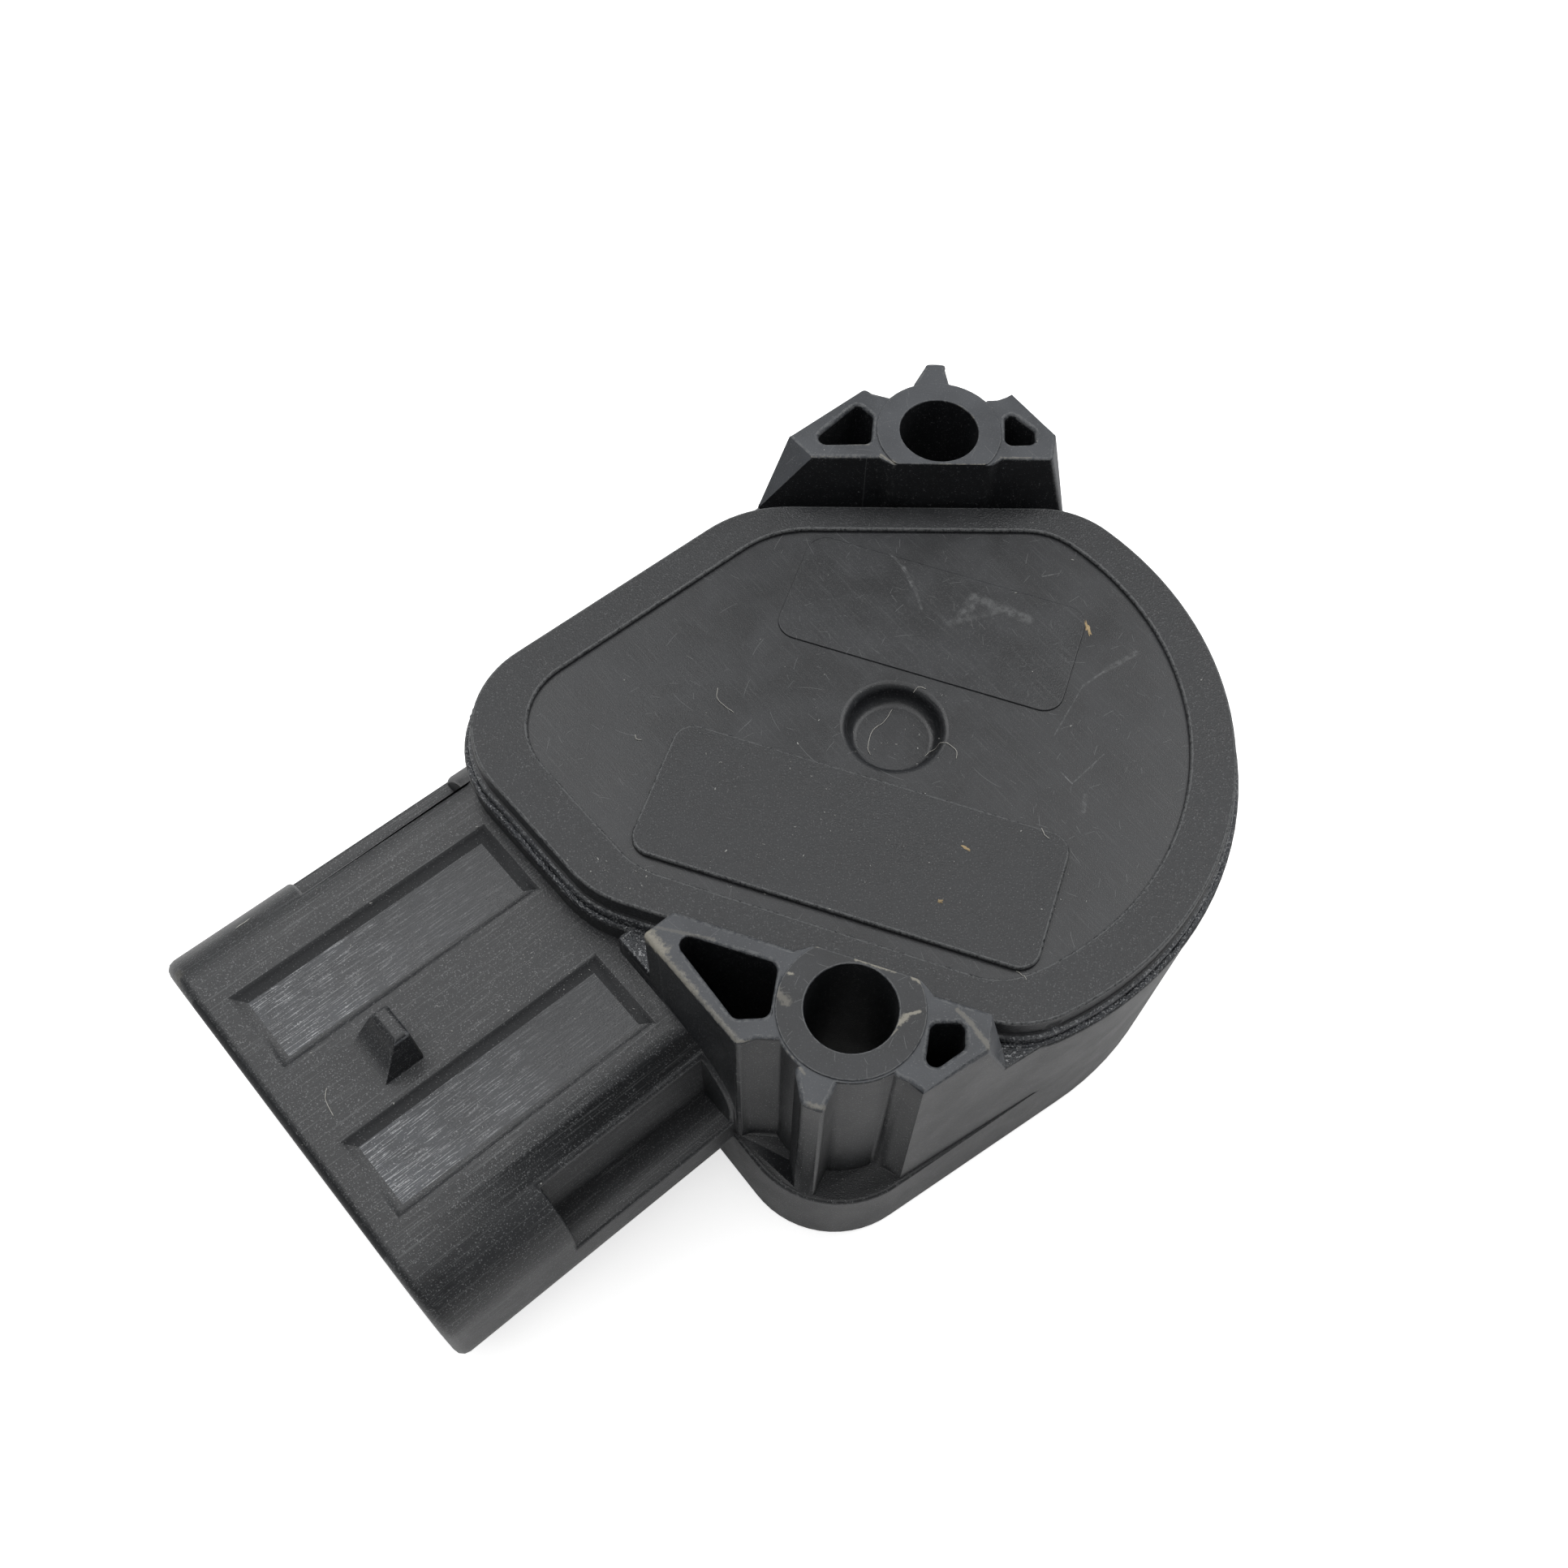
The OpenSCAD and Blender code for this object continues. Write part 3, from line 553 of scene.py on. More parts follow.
RING_WEAR = (
    ((-3.3, -22.7, 29.85), (-2.3, -22.6, 29.85), 0.16, 0.8),
    ((-0.2, -23.2, 29.85), (2.7, -23.7, 29.85), 0.24, 0.9),
    ((4.0, -24.0, 29.85), (4.8, -24.3, 29.85), 0.24, 0.9),
    ((4.9, -24.7, 29.8), (5.5, -26.0, 29.8), 0.12, 0.5),
    ((3.3, -27.7, 29.85), (3.9, -27.1, 29.85), 0.36, 0.9),
    ((3.9, -26.9, 29.85), (4.8, -26.5, 29.85), 0.16, 0.9),
    ((2.6, -29.0, 29.85), (3.4, -28.1, 29.85), 0.13, 0.6),
    ((-5.4, -26.6, 29.85), (-4.6, -27.3, 29.85), 0.5, 0.4),
    ((-5.5, -27.8, 29.8), (-5.0, -29.5, 29.8), 0.14, 0.5),
    ((-4.7, -25.1, 29.85), (-4.55, -25.1, 29.85), 0.22, 1.0),
)
SOCKET_WEAR = (
    ((-51.0, -28.3, 19.0), (-47.5, -31.9, 19.4), 0.7, 0.22),
    ((-47.5, -31.9, 19.6), (-41.4, -37.3, 19.8), 0.35, 0.16),
    ((-41.4, -37.3, 19.8), (-32.0, -44.8, 19.6), 0.3, 0.12),
)
# in millimetres: marks on the lid from above, each with a start, an end, a width and an amount
LID_MARKS = (
    ((-2.6, 17.2), (-1.3, 15.9), 0.20, 0.5),
    ((-1.3, 15.9), (0.0, 13.7), 0.26, 0.55),
    ((0.0, 13.7), (0.75, 11.9), 0.18, 0.5),
    ((-1.9, 12.8), (-1.4, 12.2), 0.08, 0.4),
    ((19.1, 10.7), (16.6, 8.4), 0.34, 0.4),
    ((16.6, 8.4), (14.9, 6.6), 0.14, 0.6),
    ((14.9, 6.6), (13.0, 1.5), 0.09, 0.45),
    ((13.8, -2.0), (14.75, -2.9), 0.07, 0.9),
    ((14.75, -2.9), (17.1, 0.3), 0.08, 0.5),
    ((15.9, -3.8), (15.85, -5.3), 0.26, 0.35),
    ((10.6, 17.2), (12.0, 17.8), 0.06, 0.7),
    ((4.2, 11.6), (5.1, 13.8), 0.70, 0.45),
    ((6.0, 13.6), (9.8, 12.4), 0.65, 0.40),
    ((3.2, 10.8), (7.6, 13.0), 0.45, 0.30),
)


@dataclass(frozen=True)
class Plastic:
    """A dark glass-filled plastic, and how it is drawn, rubbed, worn, scratched and dusty, and
    where sheen and glints are painted on it.

    Sizes are in millimetres. Grain is a size and a depth. Streaks are a turn, a pitch, a length, a
    depth and a shine; a shine above one half paints glints on the streaks. A sheen fade is painted
    sheen: a turn, where it starts and ends, and what is left at its start.
    Each set of scratches is a spacing, a length, a width and a cover.
    """

    name: str
    base: str
    factor: float
    roughness: float
    grain: tuple = (0.12, 0.010)
    mottle: float = 0.15
    flecks: float = 0.3
    fleck_level: float = 0.66
    dusting: float = 1.0
    rub: float = 0.5
    crumb: float = 0.6
    gloss: float = 0.5
    sink: float = 0.0
    streaks: tuple = ()
    fade: tuple = ()
    scratches: tuple = ()
    worn: tuple = ()
    marks: tuple = ()


PLASTICS = {
    # satin walls
    "housing": Plastic(
        "Housing plastic", "housing", 1.0, 0.42,
        rub=0.4, worn=EAR_WEAR[:2], scratches=((4.0, 2.2, 0.035, 0.25),),
    ),
    # matt top faces of the ears
    "ear": Plastic(
        "Ear face plastic", "housing", 4.2, 0.50,
        grain=(0.15, 0.012), mottle=0.2, flecks=0.15, dusting=2.4, rub=0.6, crumb=0.4,
        worn=EAR_WEAR, scratches=((2.0, 1.5, 0.03, 0.4),),
    ),
    # burnished ring round the near screw hole
    "ring": Plastic(
        "Ring face plastic", "housing", 1.3, 0.44,
        grain=(0.15, 0.010), mottle=0.35, flecks=0.1, dusting=0.9, rub=0.75, crumb=0.4,
        worn=RING_WEAR, scratches=((1.2, 1.0, 0.03, 0.6),),
    ),
    # drawn outside of the socket
    "socket": Plastic(
        "Socket plastic", "housing", 1.0, 0.38,
        flecks=0.22, fleck_level=0.62, rub=0.3, crumb=2.2,
        streaks=(SOCKET_TURN, 0.13, 6.0, 0.013, 0.32), worn=SOCKET_WEAR,
    ),
    # floors of the socket's panels: drawn in streaks, with the plastic's tone raised as painted
    # sheen and painted glints on the streaks
    "panel": Plastic(
        "Socket panel plastic", "housing", 3.4, 0.30,
        grain=(0.14, 0.014), mottle=0.35, flecks=0.5, rub=0.2, crumb=2.2,
        streaks=(SOCKET_TURN, 0.10, 2.4, 0.024, 1.0), fade=(SOCKET_TURN, 34.0, 52.0, 0.2),
    ),
    # low walls of the socket's panels that face across or along the socket: the same plastic
    # painted darker and duller as painted shade
    "panel wall": Plastic(
        "Panel wall plastic", "housing", 0.9, 0.50,
        flecks=0.15, dusting=0.4, rub=0.1, crumb=2.2, gloss=0.28,
    ),
    # fine matt band and pads of the lid
    "band": Plastic(
        "Lid band plastic", "lid", 1.0, 0.43,
        grain=(0.13, 0.020), mottle=0.14, flecks=0.11, fleck_level=0.62, rub=0.7, crumb=0.28,
    ),
    # smoother, smeared field of the lid
    "field": Plastic(
        "Lid field plastic", "lid", 1.0, 0.34,
        grain=(0.10, 0.006), mottle=0.25, flecks=0.07, fleck_level=0.62, dusting=0.8, rub=0.2,
        streaks=(math.radians(-42), 0.10, 4.0, 0.005, 0.12),
        scratches=((3.6, 2.4, 0.03, 0.35), (1.4, 0.9, 0.025, 0.25)), marks=LID_MARKS, sink=0.12,
    ),
    # rough bright rim that the weld leaves
    "seam": Plastic(
        "Seam plastic", "housing", 3.4, 0.34,
        grain=(0.18, 0.06), mottle=0.3, flecks=0.45, fleck_level=0.58, rub=0.6,
    ),
}
made_plastics = {}


def plastic(kind):
    """The material of one of the plastics, made when it is first asked for."""
    if kind not in made_plastics:
        made_plastics[kind] = make_plastic(PLASTICS[kind], bpy.context.scene.sensor_finish)
    return made_plastics[kind]


def make_plastic(look, finish):
    """A plastic, with its grain and fibres under its streaks, painted sheen and glints, rubs, worn
    patches and dust.
    """
    material, tree, shader = new_material(look.name)
    base = tone(getattr(finish, look.base), look.factor)
    sockets = {"Grain Size": look.grain[0], "Mottle Size": 5.0, "Fleck Level": look.fleck_level}
    surface = effect(tree, "grain", sockets)
    grain, mottle = surface["Grain"], surface["Mottle"]
    crumble = effect(tree, "crumble", {"Size": look.crumb})["Value"]
    shade = blend(tree, mottle, tone(base, 1 - look.mottle), tone(base, 1 + look.mottle))
    shade = blend(tree, times(tree, surface["Flecks"], look.flecks), shade, finish.fibre)
    # left is the share of the painted sheen, 1 where a plastic has none
    left = 1.0
    # painted sheen: darker towards the start of the sheen fade, brighter towards its end, along the
    # socket
    if look.fade:
        turn, low, high, least = look.fade
        way = (math.cos(turn), math.sin(turn), 0)
        along = vector_value(tree, "DOT_PRODUCT", spot_in_mm(tree), way)
        left = ramp(tree, along, low, high, least, 1.0)
        shade = blend(tree, left, tone(base, 0.4), shade)
    height = times(tree, grain, look.grain[1])
    rough = plus(tree, look.roughness - 0.04, times(tree, mottle, 0.08))
    if look.streaks:
        turn, pitch, reach, depth, shine = look.streaks
        drawn = effect(tree, "streaks", {"Turn": turn, "Pitch": pitch, "Length": reach})["Height"]
        height = plus(tree, height, times(tree, drawn, depth))
        # a shine above one half paints glints: bright streak lines in the fibre colour, broken up
        # by mottle and grain and scaled by the painted sheen
        paints_glints = shine > 0.5
        bright = ramp(tree, drawn, 0.54, 0.62 if paints_glints else 0.70, 0.0, shine)
        if paints_glints:
            patchy = plus(tree, 0.4, times(tree, mottle, 0.6))
            broken = plus(tree, 0.25, times(tree, grain, 0.75))
            bright = times(tree, times(tree, bright, times(tree, patchy, broken)), left)
        shade = blend(tree, bright, shade, finish.fibre if paints_glints else finish.scuff)
    if look.sink:
        dip = noise_value(tree, spot_in_mm(tree), 1.0, 0.5, scale=0.11)
        height = plus(tree, height, times(tree, dip, look.sink))
    rubbed = strongest(tree, rubs(tree, look, finish, crumble))
    shade = blend(tree, rubbed, shade, finish.scuff)
    rough = plus(tree, rough, times(tree, rubbed, 0.12))
    if look.worn:
        patch = strongest(tree, worn_patches(tree, look.worn, crumble))
        shade = blend(tree, patch, shade, finish.chalk)
        rough = plus(tree, rough, times(tree, patch, 0.25))
    film = effect(tree, "dust", {"Mottle": mottle, "Grain": grain})["Mask"]
    shade = blend(tree, times(tree, film, finish.dusting * look.dusting), shade, finish.dust)
    coat(tree, shader, shade, rough, height, 1.0, MM)
    shader.inputs["IOR"].default_value = 1.5
    shader.inputs["Specular IOR Level"].default_value = look.gloss
    return material


def rubs(tree, look, finish, crumble):
    """The masks of a plastic's marks, hair scratches and rubbed edges."""
    masks = []
    for first, last, width, amount in look.marks:
        sockets = {"Start": (*first, 0), "End": (*last, 0), "Width": width}
        sockets.update({"Crumble": crumble, "Breakup": 0.85})
        masks.append(times(tree, effect(tree, "mark", sockets)["Mask"], amount))
    for spacing, reach, width, cover in look.scratches:
        sockets = {"Spacing": spacing, "Length": reach, "Width": width, "Cover": cover}
        masks.append(times(tree, effect(tree, "scratches", sockets)["Mask"], finish.scratching))
    edge = effect(tree, "rubbed", {"Crumble": crumble, "Cover": look.rub})["Mask"]
    masks.append(times(tree, edge, finish.wear))
    return masks


def worn_patches(tree, worn, crumble):
    """The masks of a plastic's worn lines."""
    masks = []
    for first, last, radius, amount in worn:
        sockets = {"Start": first, "End": last, "Radius": radius, "Crumble": crumble}
        masks.append(times(tree, effect(tree, "patch", sockets)["Mask"], amount))
    return masks


def metal(name, base, roughness, streak_turn=0.0, tarnish=0.25):
    """A drawn metal with some tarnish."""
    material, tree, shader = new_material(name)
    surface = effect(tree, "grain", {"Grain Size": 0.08, "Mottle Size": 1.5})
    drawn = effect(tree, "streaks", {"Turn": streak_turn, "Pitch": 0.06, "Length": 2.0})["Height"]
    shade = blend(tree, surface["Mottle"], tone(base, 1 - tarnish), base)
    shade = blend(tree, times(tree, surface["Flecks"], 0.3), shade, tone(base, 0.5))
    rough = plus(tree, roughness, times(tree, surface["Mottle"], 0.12))
    coat(tree, shader, shade, rough, drawn, 0.5, 0.01 * MM)
    shader.inputs["Metallic"].default_value = 1.0
    return material


def plain_stuff(name, base, roughness, grain, mottle, dusting):
    """Any other stuff, with its grain (a size and a depth), mottling and a film of dust."""
    material, tree, shader = new_material(name)
    surface = effect(tree, "grain", {"Grain Size": grain[0], "Mottle Size": 1.8})
    shade = blend(tree, surface["Mottle"], tone(base, 1 - mottle), tone(base, 1 + mottle))
    shade = blend(tree, times(tree, surface["Grain"], mottle), shade, tone(base, 1.3))
    film = effect(tree, "dust", {"Mottle": surface["Mottle"], "Grain": surface["Grain"]})["Mask"]
    dust = bpy.context.scene.sensor_finish.dust
    shade = blend(tree, times(tree, film, dusting), shade, dust)
    rough = plus(tree, roughness, times(tree, surface["Grain"], 0.08))
    coat(tree, shader, shade, rough, surface["Grain"], 1.0, grain[1] * MM)
    return material


def is_sharp(edge):
    """Whether the surface turns enough at an edge to need rounding."""
    return len(edge.link_faces) == 2 and edge.calc_face_angle(0) > SHARP


def room_beside(face, edge, share_along, far):
    """How far a surface runs from a point of an edge to the next sharp one, and if it is outer."""
    for loop in face.loops:
        if loop.edge == edge:
            along = (loop.link_loop_next.vert.co - loop.vert.co).normalized()
    inward = face.normal.cross(along)
    start = edge.verts[0].co.lerp(edge.verts[1].co, share_along)
    gone = 0.0
    for _ in range(MOST_FACES):
        nearest = None
        for other in face.edges:
            if other == edge:
                continue
            p, q = (vert.co - start for vert in other.verts)
            side_p, side_q = p.dot(along), q.dot(along)
            if (side_p > 0) == (side_q > 0) or abs(side_p - side_q) < PARALLEL:
                continue
            ahead = p.dot(inward) + (q - p).dot(inward) * side_p / (side_p - side_q)
            if ahead > LEAST_STEP and (nearest is None or ahead < nearest[0]):
                nearest = (ahead, other)
        if nearest is None:
            return far, False
        gone += nearest[0]
        edge = nearest[1]
        if gone >= far:
            return far, False
        if is_sharp(edge):
            return gone, edge.is_convex
        beyond = [other for other in edge.link_faces if other != face]
        if not beyond:
            return gone, False
        start = start + inward * nearest[0]
        face = beyond[0]
        inward = (inward - face.normal * inward.dot(face.normal)).normalized()
        along = (along - face.normal * along.dot(face.normal)).normalized()
    return far, False


def next_along(edge, sharp):
    """The sharp edges that carry on from an edge without a corner."""
    for vert in edge.verts:
        near = [other for other in vert.link_edges if other in sharp and other != edge]
        if len(near) == 1:
            back = (edge.other_vert(vert).co - vert.co).normalized()
            ahead = (near[0].other_vert(vert).co - vert.co).normalized()
            if back.dot(ahead) < STRAIGHT_ON:
                yield near[0]


def edge_radii(mesh, radius, finer=None):
    """A radius for each sharp outer edge: the wanted one, or what there is room for."""
    radii = {}
    for edge in mesh.edges:
        if is_sharp(edge) and edge.is_convex:
            limit = finer(edge) if finer else radius
            points = EDGE_POINTS if edge.calc_length() > MM else (0.5,)
            for face in edge.link_faces:
                for share_along in points if limit else ():
                    gap, outer = room_beside(face, edge, share_along, 4 * limit)
                    limit = min(limit, gap * (ROOM_TO_OUTER if outer else ROOM_TO_INNER))
            radii[edge] = limit
    return radii


def ease(radii):
    """Lets a radius grow only slowly along a run of edges."""
    queue = [(limit, edge.index, edge) for edge, limit in radii.items()]
    heapq.heapify(queue)
    settled = set()
    while queue:
        limit, _, edge = heapq.heappop(queue)
        if edge in settled:
            continue
        settled.add(edge)
        for other in next_along(edge, radii):
            eased = limit + RADIUS_GROWTH * (edge.calc_length() + other.calc_length()) / 2
            if other not in settled and eased < radii[other]:
                radii[other] = eased
                heapq.heappush(queue, (eased, other.index, other))


def bevelled(work, name, radius, segments):
    """The mesh with its weighted edges rounded; the rounded faces have material 1."""
    mesh = bpy.data.meshes.new(name)
    work.to_mesh(mesh)
    for _ in range(2):
        mesh.materials.append(None)
    piece = bpy.data.objects.new(name, mesh)
    bpy.context.scene.collection.objects.link(piece)
    bevel = piece.modifiers.new("Moulded edges", "BEVEL")
    bevel.limit_method = "WEIGHT"
    bevel.offset_type = "OFFSET"
    bevel.width = radius
    bevel.segments = segments
    bevel.use_clamp_overlap = False
    bevel.material = 1
    depsgraph = bpy.context.evaluated_depsgraph_get()
    rounded = bpy.data.meshes.new_from_object(piece.evaluated_get(depsgraph))
    bpy.data.objects.remove(piece)
    bpy.data.meshes.remove(mesh)
    rounded.name = name
    return rounded


def crossed_faces(rounded):
    """The source faces whose borders run into each other after the rounding."""
    rounded.calc_loop_triangles()
    covered = [0.0] * len(rounded.polygons)
    for triangle in rounded.loop_triangles:
        covered[triangle.polygon_index] += triangle.area
    origin = rounded.attributes["origin"].data
    return {
        origin[face.index].value
        for face in rounded.polygons
        if face.material_index == 0
        and covered[face.index] - face.area > FOLD_AREA + FOLD_SHARE * face.area
    }


def rounded_copy(node, name, radius, segments=3, finer=None):
    """A copy of a solid's skin with its outer edges rounded, as they leave a mould."""
    work = bmesh.new()
    work.from_mesh(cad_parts[node].data)
    bmesh.ops.remove_doubles(work, verts=work.verts, dist=WELD_GAP)
    bmesh.ops.dissolve_degenerate(work, dist=1e-7, edges=work.edges)
    bmesh.ops.dissolve_limit(
        work,
        angle_limit=FLAT_TURN,
        use_dissolve_boundaries=False,
        verts=work.verts,
        edges=work.edges,
    )
    work.normal_update()
    work.edges.index_update()
    work.faces.ensure_lookup_table()
    weight = work.edges.layers.float.new("bevel_weight_edge")
    origin = work.faces.layers.int.new("origin")
    for face in work.faces:
        face.material_index = 0
        face[origin] = face.index
    radii = edge_radii(work, radius, finer)
    for _ in range(ROUNDING_TRIES):
        ease(radii)
        for edge, limit in radii.items():
            edge[weight] = 0 if limit < LEAST_RADIUS else limit / radius
        rounded = bevelled(work, name, radius, segments)
        crossed = crossed_faces(rounded)
        if not crossed:
            break
        for edge in {edge for index in crossed for edge in work.faces[index].edges}:
            if edge in radii:
                radii[edge] *= RETRY_SHARE
    work.free()
    piece = bpy.data.objects.new(name, rounded)
    bpy.context.scene.collection.objects.link(piece)
    on_edge = rounded.attributes.new("rounded_edge", "FLOAT", "CORNER")
    for face in rounded.polygons:
        for corner in face.loop_indices:
            on_edge.data[corner].value = face.material_index
    rounded.attributes.remove(rounded.attributes["origin"])
    rounded.shade_smooth()
    rounded.set_sharp_from_angle(angle=SHADING_BREAK)
    piece.modifiers.new("Even shading", "WEIGHTED_NORMAL").keep_sharp = True
    return piece


def give_slots(piece, kinds, choose):
    """Fills a piece's material slots with plastics, and picks one for each face."""
    piece.data.materials.clear()
    for kind in kinds:
        piece.data.materials.append(plastic(kind))
    for face in piece.data.polygons:
        face.material_index = kinds.index(choose(face.center, face.normal))


def outline_at(node, level, slack=0.05 * MM):
    """The convex outline of a solid's corners at one height, in order."""
    points = sorted(
        {
            (round(vert.co.x, 7), round(vert.co.y, 7))
            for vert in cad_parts[node].data.vertices
            if abs(vert.co.z - level) < slack
        }
    )
    if len(points) < 3:
        raise RuntimeError(f"{node} has no outline at {level}")

    def half(ordered):
        """One side of the outline, from points in order."""
        chain = []
        for p in ordered:
            while len(chain) > 1:
                (ax, ay), (bx, by) = chain[-2], chain[-1]
                if (bx - ax) * (p[1] - ay) - (by - ay) * (p[0] - ax) > 0:
                    break
                chain.pop()
            chain.append(p)
        return chain[:-1]

    return [Vector((x, y)) for x, y in half(points) + half(points[::-1])]


def spaced(points, step):
    """Points at even steps round a closed outline, each with its outward direction."""
    count = len(points)
    lengths = [(points[(i + 1) % count] - points[i]).length for i in range(count)]
    total = sum(lengths)
    steps = max(8, round(total / step))
    result = []
    index, walked = 0, 0.0
    for number in range(steps):
        target = total * number / steps
        while walked + lengths[index] < target:
            walked += lengths[index]
            index += 1
        a, b = points[index], points[(index + 1) % count]
        share_along = (target - walked) / lengths[index]
        way = (b - a).normalized()
        result.append((a.lerp(b, share_along), Vector((way.y, -way.x))))
    return result


def mesh_piece(name, verts, faces, material):
    """A new piece from points and faces."""
    mesh = bpy.data.meshes.new(name)
    mesh.from_pydata(verts, [], faces)
    mesh.validate()
    mesh.update()
    mesh.shade_smooth()
    mesh.materials.append(material)
    piece = bpy.data.objects.new(name, mesh)
    bpy.context.scene.collection.objects.link(piece)
    return piece


def ring_faces(rings, sides, first=0, closed=False):
    """The faces between rings of points, also from the last to the first where they close."""
    faces = []
    for ring in range(rings if closed else rings - 1):
        here, there = first + ring * sides, first + (ring + 1) % rings * sides
        for side in range(sides):
            beside = (side + 1) % sides
            faces.append((here + side, there + side, there + beside, here + beside))
    return faces


def weld_bead(width, height, material):
    """The uneven bead of crumbs that the lid's weld leaves along the seam."""
    step, stand_off, sway, sides = 0.11 * MM, 0.17 * MM, 0.10 * MM, 6
    stations = spaced(outline_at("lid", SEAM), step)
    verts = []
    for spot, out in stations:
        crumb = noise.noise(Vector((spot.x, spot.y, 0)) * 2600)
        swell = noise.noise(Vector((spot.x, spot.y, 0.01)) * 220)
        shift = sway * noise.noise(Vector((spot.x, spot.y, 0.02)) * 500)
        for k in range(sides):
            turn = math.tau * k / sides
            reach = width * (0.8 + 0.35 * swell + 0.45 * crumb)
            lift = height * max(0.25, 0.75 + 0.6 * swell + 0.8 * crumb)
            point = spot + out * (stand_off + shift + reach * math.cos(turn))
            verts.append((point.x, point.y, SEAM + lift * math.sin(turn)))
    faces = ring_faces(len(stations), sides, closed=True)
    return mesh_piece("weld_bead", verts, faces, material)


def skin_tree(piece):
    """A search tree of a piece's skin."""
    work = bmesh.new()
    work.from_mesh(piece.data)
    tree = BVHTree.FromBMesh(work)
    work.free()
    return tree


def smooth_route(route, steps):
    """A smooth path through a few points."""
    points = [Vector(p) for p in route]
    points = [points[0] * 2 - points[1]] + points + [points[-1] * 2 - points[-2]]
    result = []
    for i in range(1, len(points) - 2):
        a, b, c, d = points[i - 1 : i + 3]
        for k in range(steps):
            t = k / steps
            bend = (2 * a - 5 * b + 4 * c - d) * t**2 + (3 * b - a - 3 * c + d) * t**3
            result.append(0.5 * (2 * b + (c - a) * t + bend))
    result.append(points[-2])
    return result


def seen_from_above(skins, x, y):
    """The spot, normal, face and depth where a line straight down meets each skin."""
    hits = [skin.ray_cast(Vector((x, y, 0.1)), -UP) for skin in skins]
    return [hit for hit in hits if hit[0] is not None]


def highest(skins, x, y):
    """Height of the topmost skin at a spot seen from above."""
    return max((hit[0].z for hit in seen_from_above(skins, x, y)), default=0.0)


def ahead_at(route, index):
    """Direction of a route at one of its points."""
    ahead = route[min(index + 1, len(route) - 1)] - route[max(index - 1, 0)]
    return ahead.normalized()


def tube(verts, faces, route, sideways, radii, sides):
    """Adds a closed tube along a route, with a sideways direction and a radius at each point."""
    first = len(verts)
    for index, spot in enumerate(route):
        across, radius = sideways[index], radii[index]
        over = across.cross(ahead_at(route, index))
        for k in range(sides):
            turn = math.tau * k / sides
            out = across * math.cos(turn) + over * math.sin(turn)
            verts.append(spot + out * radius)
    faces.extend(ring_faces(len(route), sides, first))
    faces.append(tuple(first + k for k in range(sides)))
    last = first + (len(route) - 1) * sides
    faces.append(tuple(last + k for k in reversed(range(sides))))


def lay_fibres(skins, routes, width, material):
    """Fine lint fibres as thin tubes that lie on the skin below them."""
    verts, faces = [], []
    for number, route in enumerate(routes):
        laid = []
        for index, (x, y) in enumerate(smooth_route(route, 10)):
            top = highest(skins, x * MM, y * MM)
            lift = width * (0.6 + 1.2 * (0.5 + 0.5 * math.sin(index * 0.9 + number)))
            laid.append(Vector((x * MM, y * MM, top + lift)))
        end = len(laid) - 1
        beside = [(laid[max(i - 1, 0)].z + laid[min(i + 1, end)].z) / 2 for i in range(end + 1)]
        laid = [Vector((p.x, p.y, max(p.z, z))) for p, z in zip(laid, beside)]
        sideways = [ahead_at(laid, i).cross(UP).normalized() for i in range(end + 1)]
        radii = [width / 2 * (0.45 if i in (0, end) else 1.0) for i in range(end + 1)]
        tube(verts, faces, laid, sideways, radii, 5)
    return mesh_piece("lint_fibres", verts, faces, material)


class Dice:
    """Repeatable random numbers."""

    def __init__(self, seed):
        self.state = seed

    def roll(self):
        """The next number from 0 to 1."""
        self.state = (self.state * 1103515245 + 12345) % 2147483648
        return self.state / 2147483648

    def between(self, low, high):
        """The next number between two limits."""
        return low + (high - low) * self.roll()


def strew_specks(skins, areas, count, size, material):
    """Dust specks as small rough crumbs on the surfaces that face up."""
    dice = Dice(7)
    verts, faces = [], []
    weights = [area[4] for area in areas]
    least_upward, least_height = 0.35, 2 * MM
    placed = 0
    for _ in range(count * 6):
        if placed >= count:
            break
        pick = dice.roll() * sum(weights)
        for area in areas:
            pick -= area[4]
            if pick <= 0:
                break
        x, y = dice.between(area[0], area[1]) * MM, dice.between(area[2], area[3]) * MM
        hits = seen_from_above(skins, x, y)
        hits = [hit for hit in hits if hit[1].z > least_upward and hit[0].z > least_height]
        if not hits:
            continue
        top = max(hits, key=lambda hit: hit[0].z)
        radius = size * dice.between(0.2, 1.0) ** 3 + 0.014 * MM
        if top[0].z + 2 * radius > CAD_BOX[1][2]:
            continue
        crumb = bmesh.new()
        bmesh.ops.create_icosphere(crumb, subdivisions=1, radius=radius)
        stretch = Vector((dice.between(0.5, 2.2), dice.between(0.4, 1.0), dice.between(0.3, 0.7)))
        turn = Matrix.Rotation(dice.between(0, math.tau), 3, "Z")
        first = len(verts)
        for vert in crumb.verts:
            shaped = vert.co * (1 + 0.6 * noise.noise(vert.co * 9000 + Vector((placed, 0, 0))))
            shaped = turn @ Vector(a * b for a, b in zip(shaped, stretch))
            verts.append(top[0] + shaped + UP * (radius * 0.2))
        faces.extend(tuple(first + vert.index for vert in face.verts) for face in crumb.faces)
        crumb.free()
        placed += 1
    return mesh_piece("dust_specks", verts, faces, material)


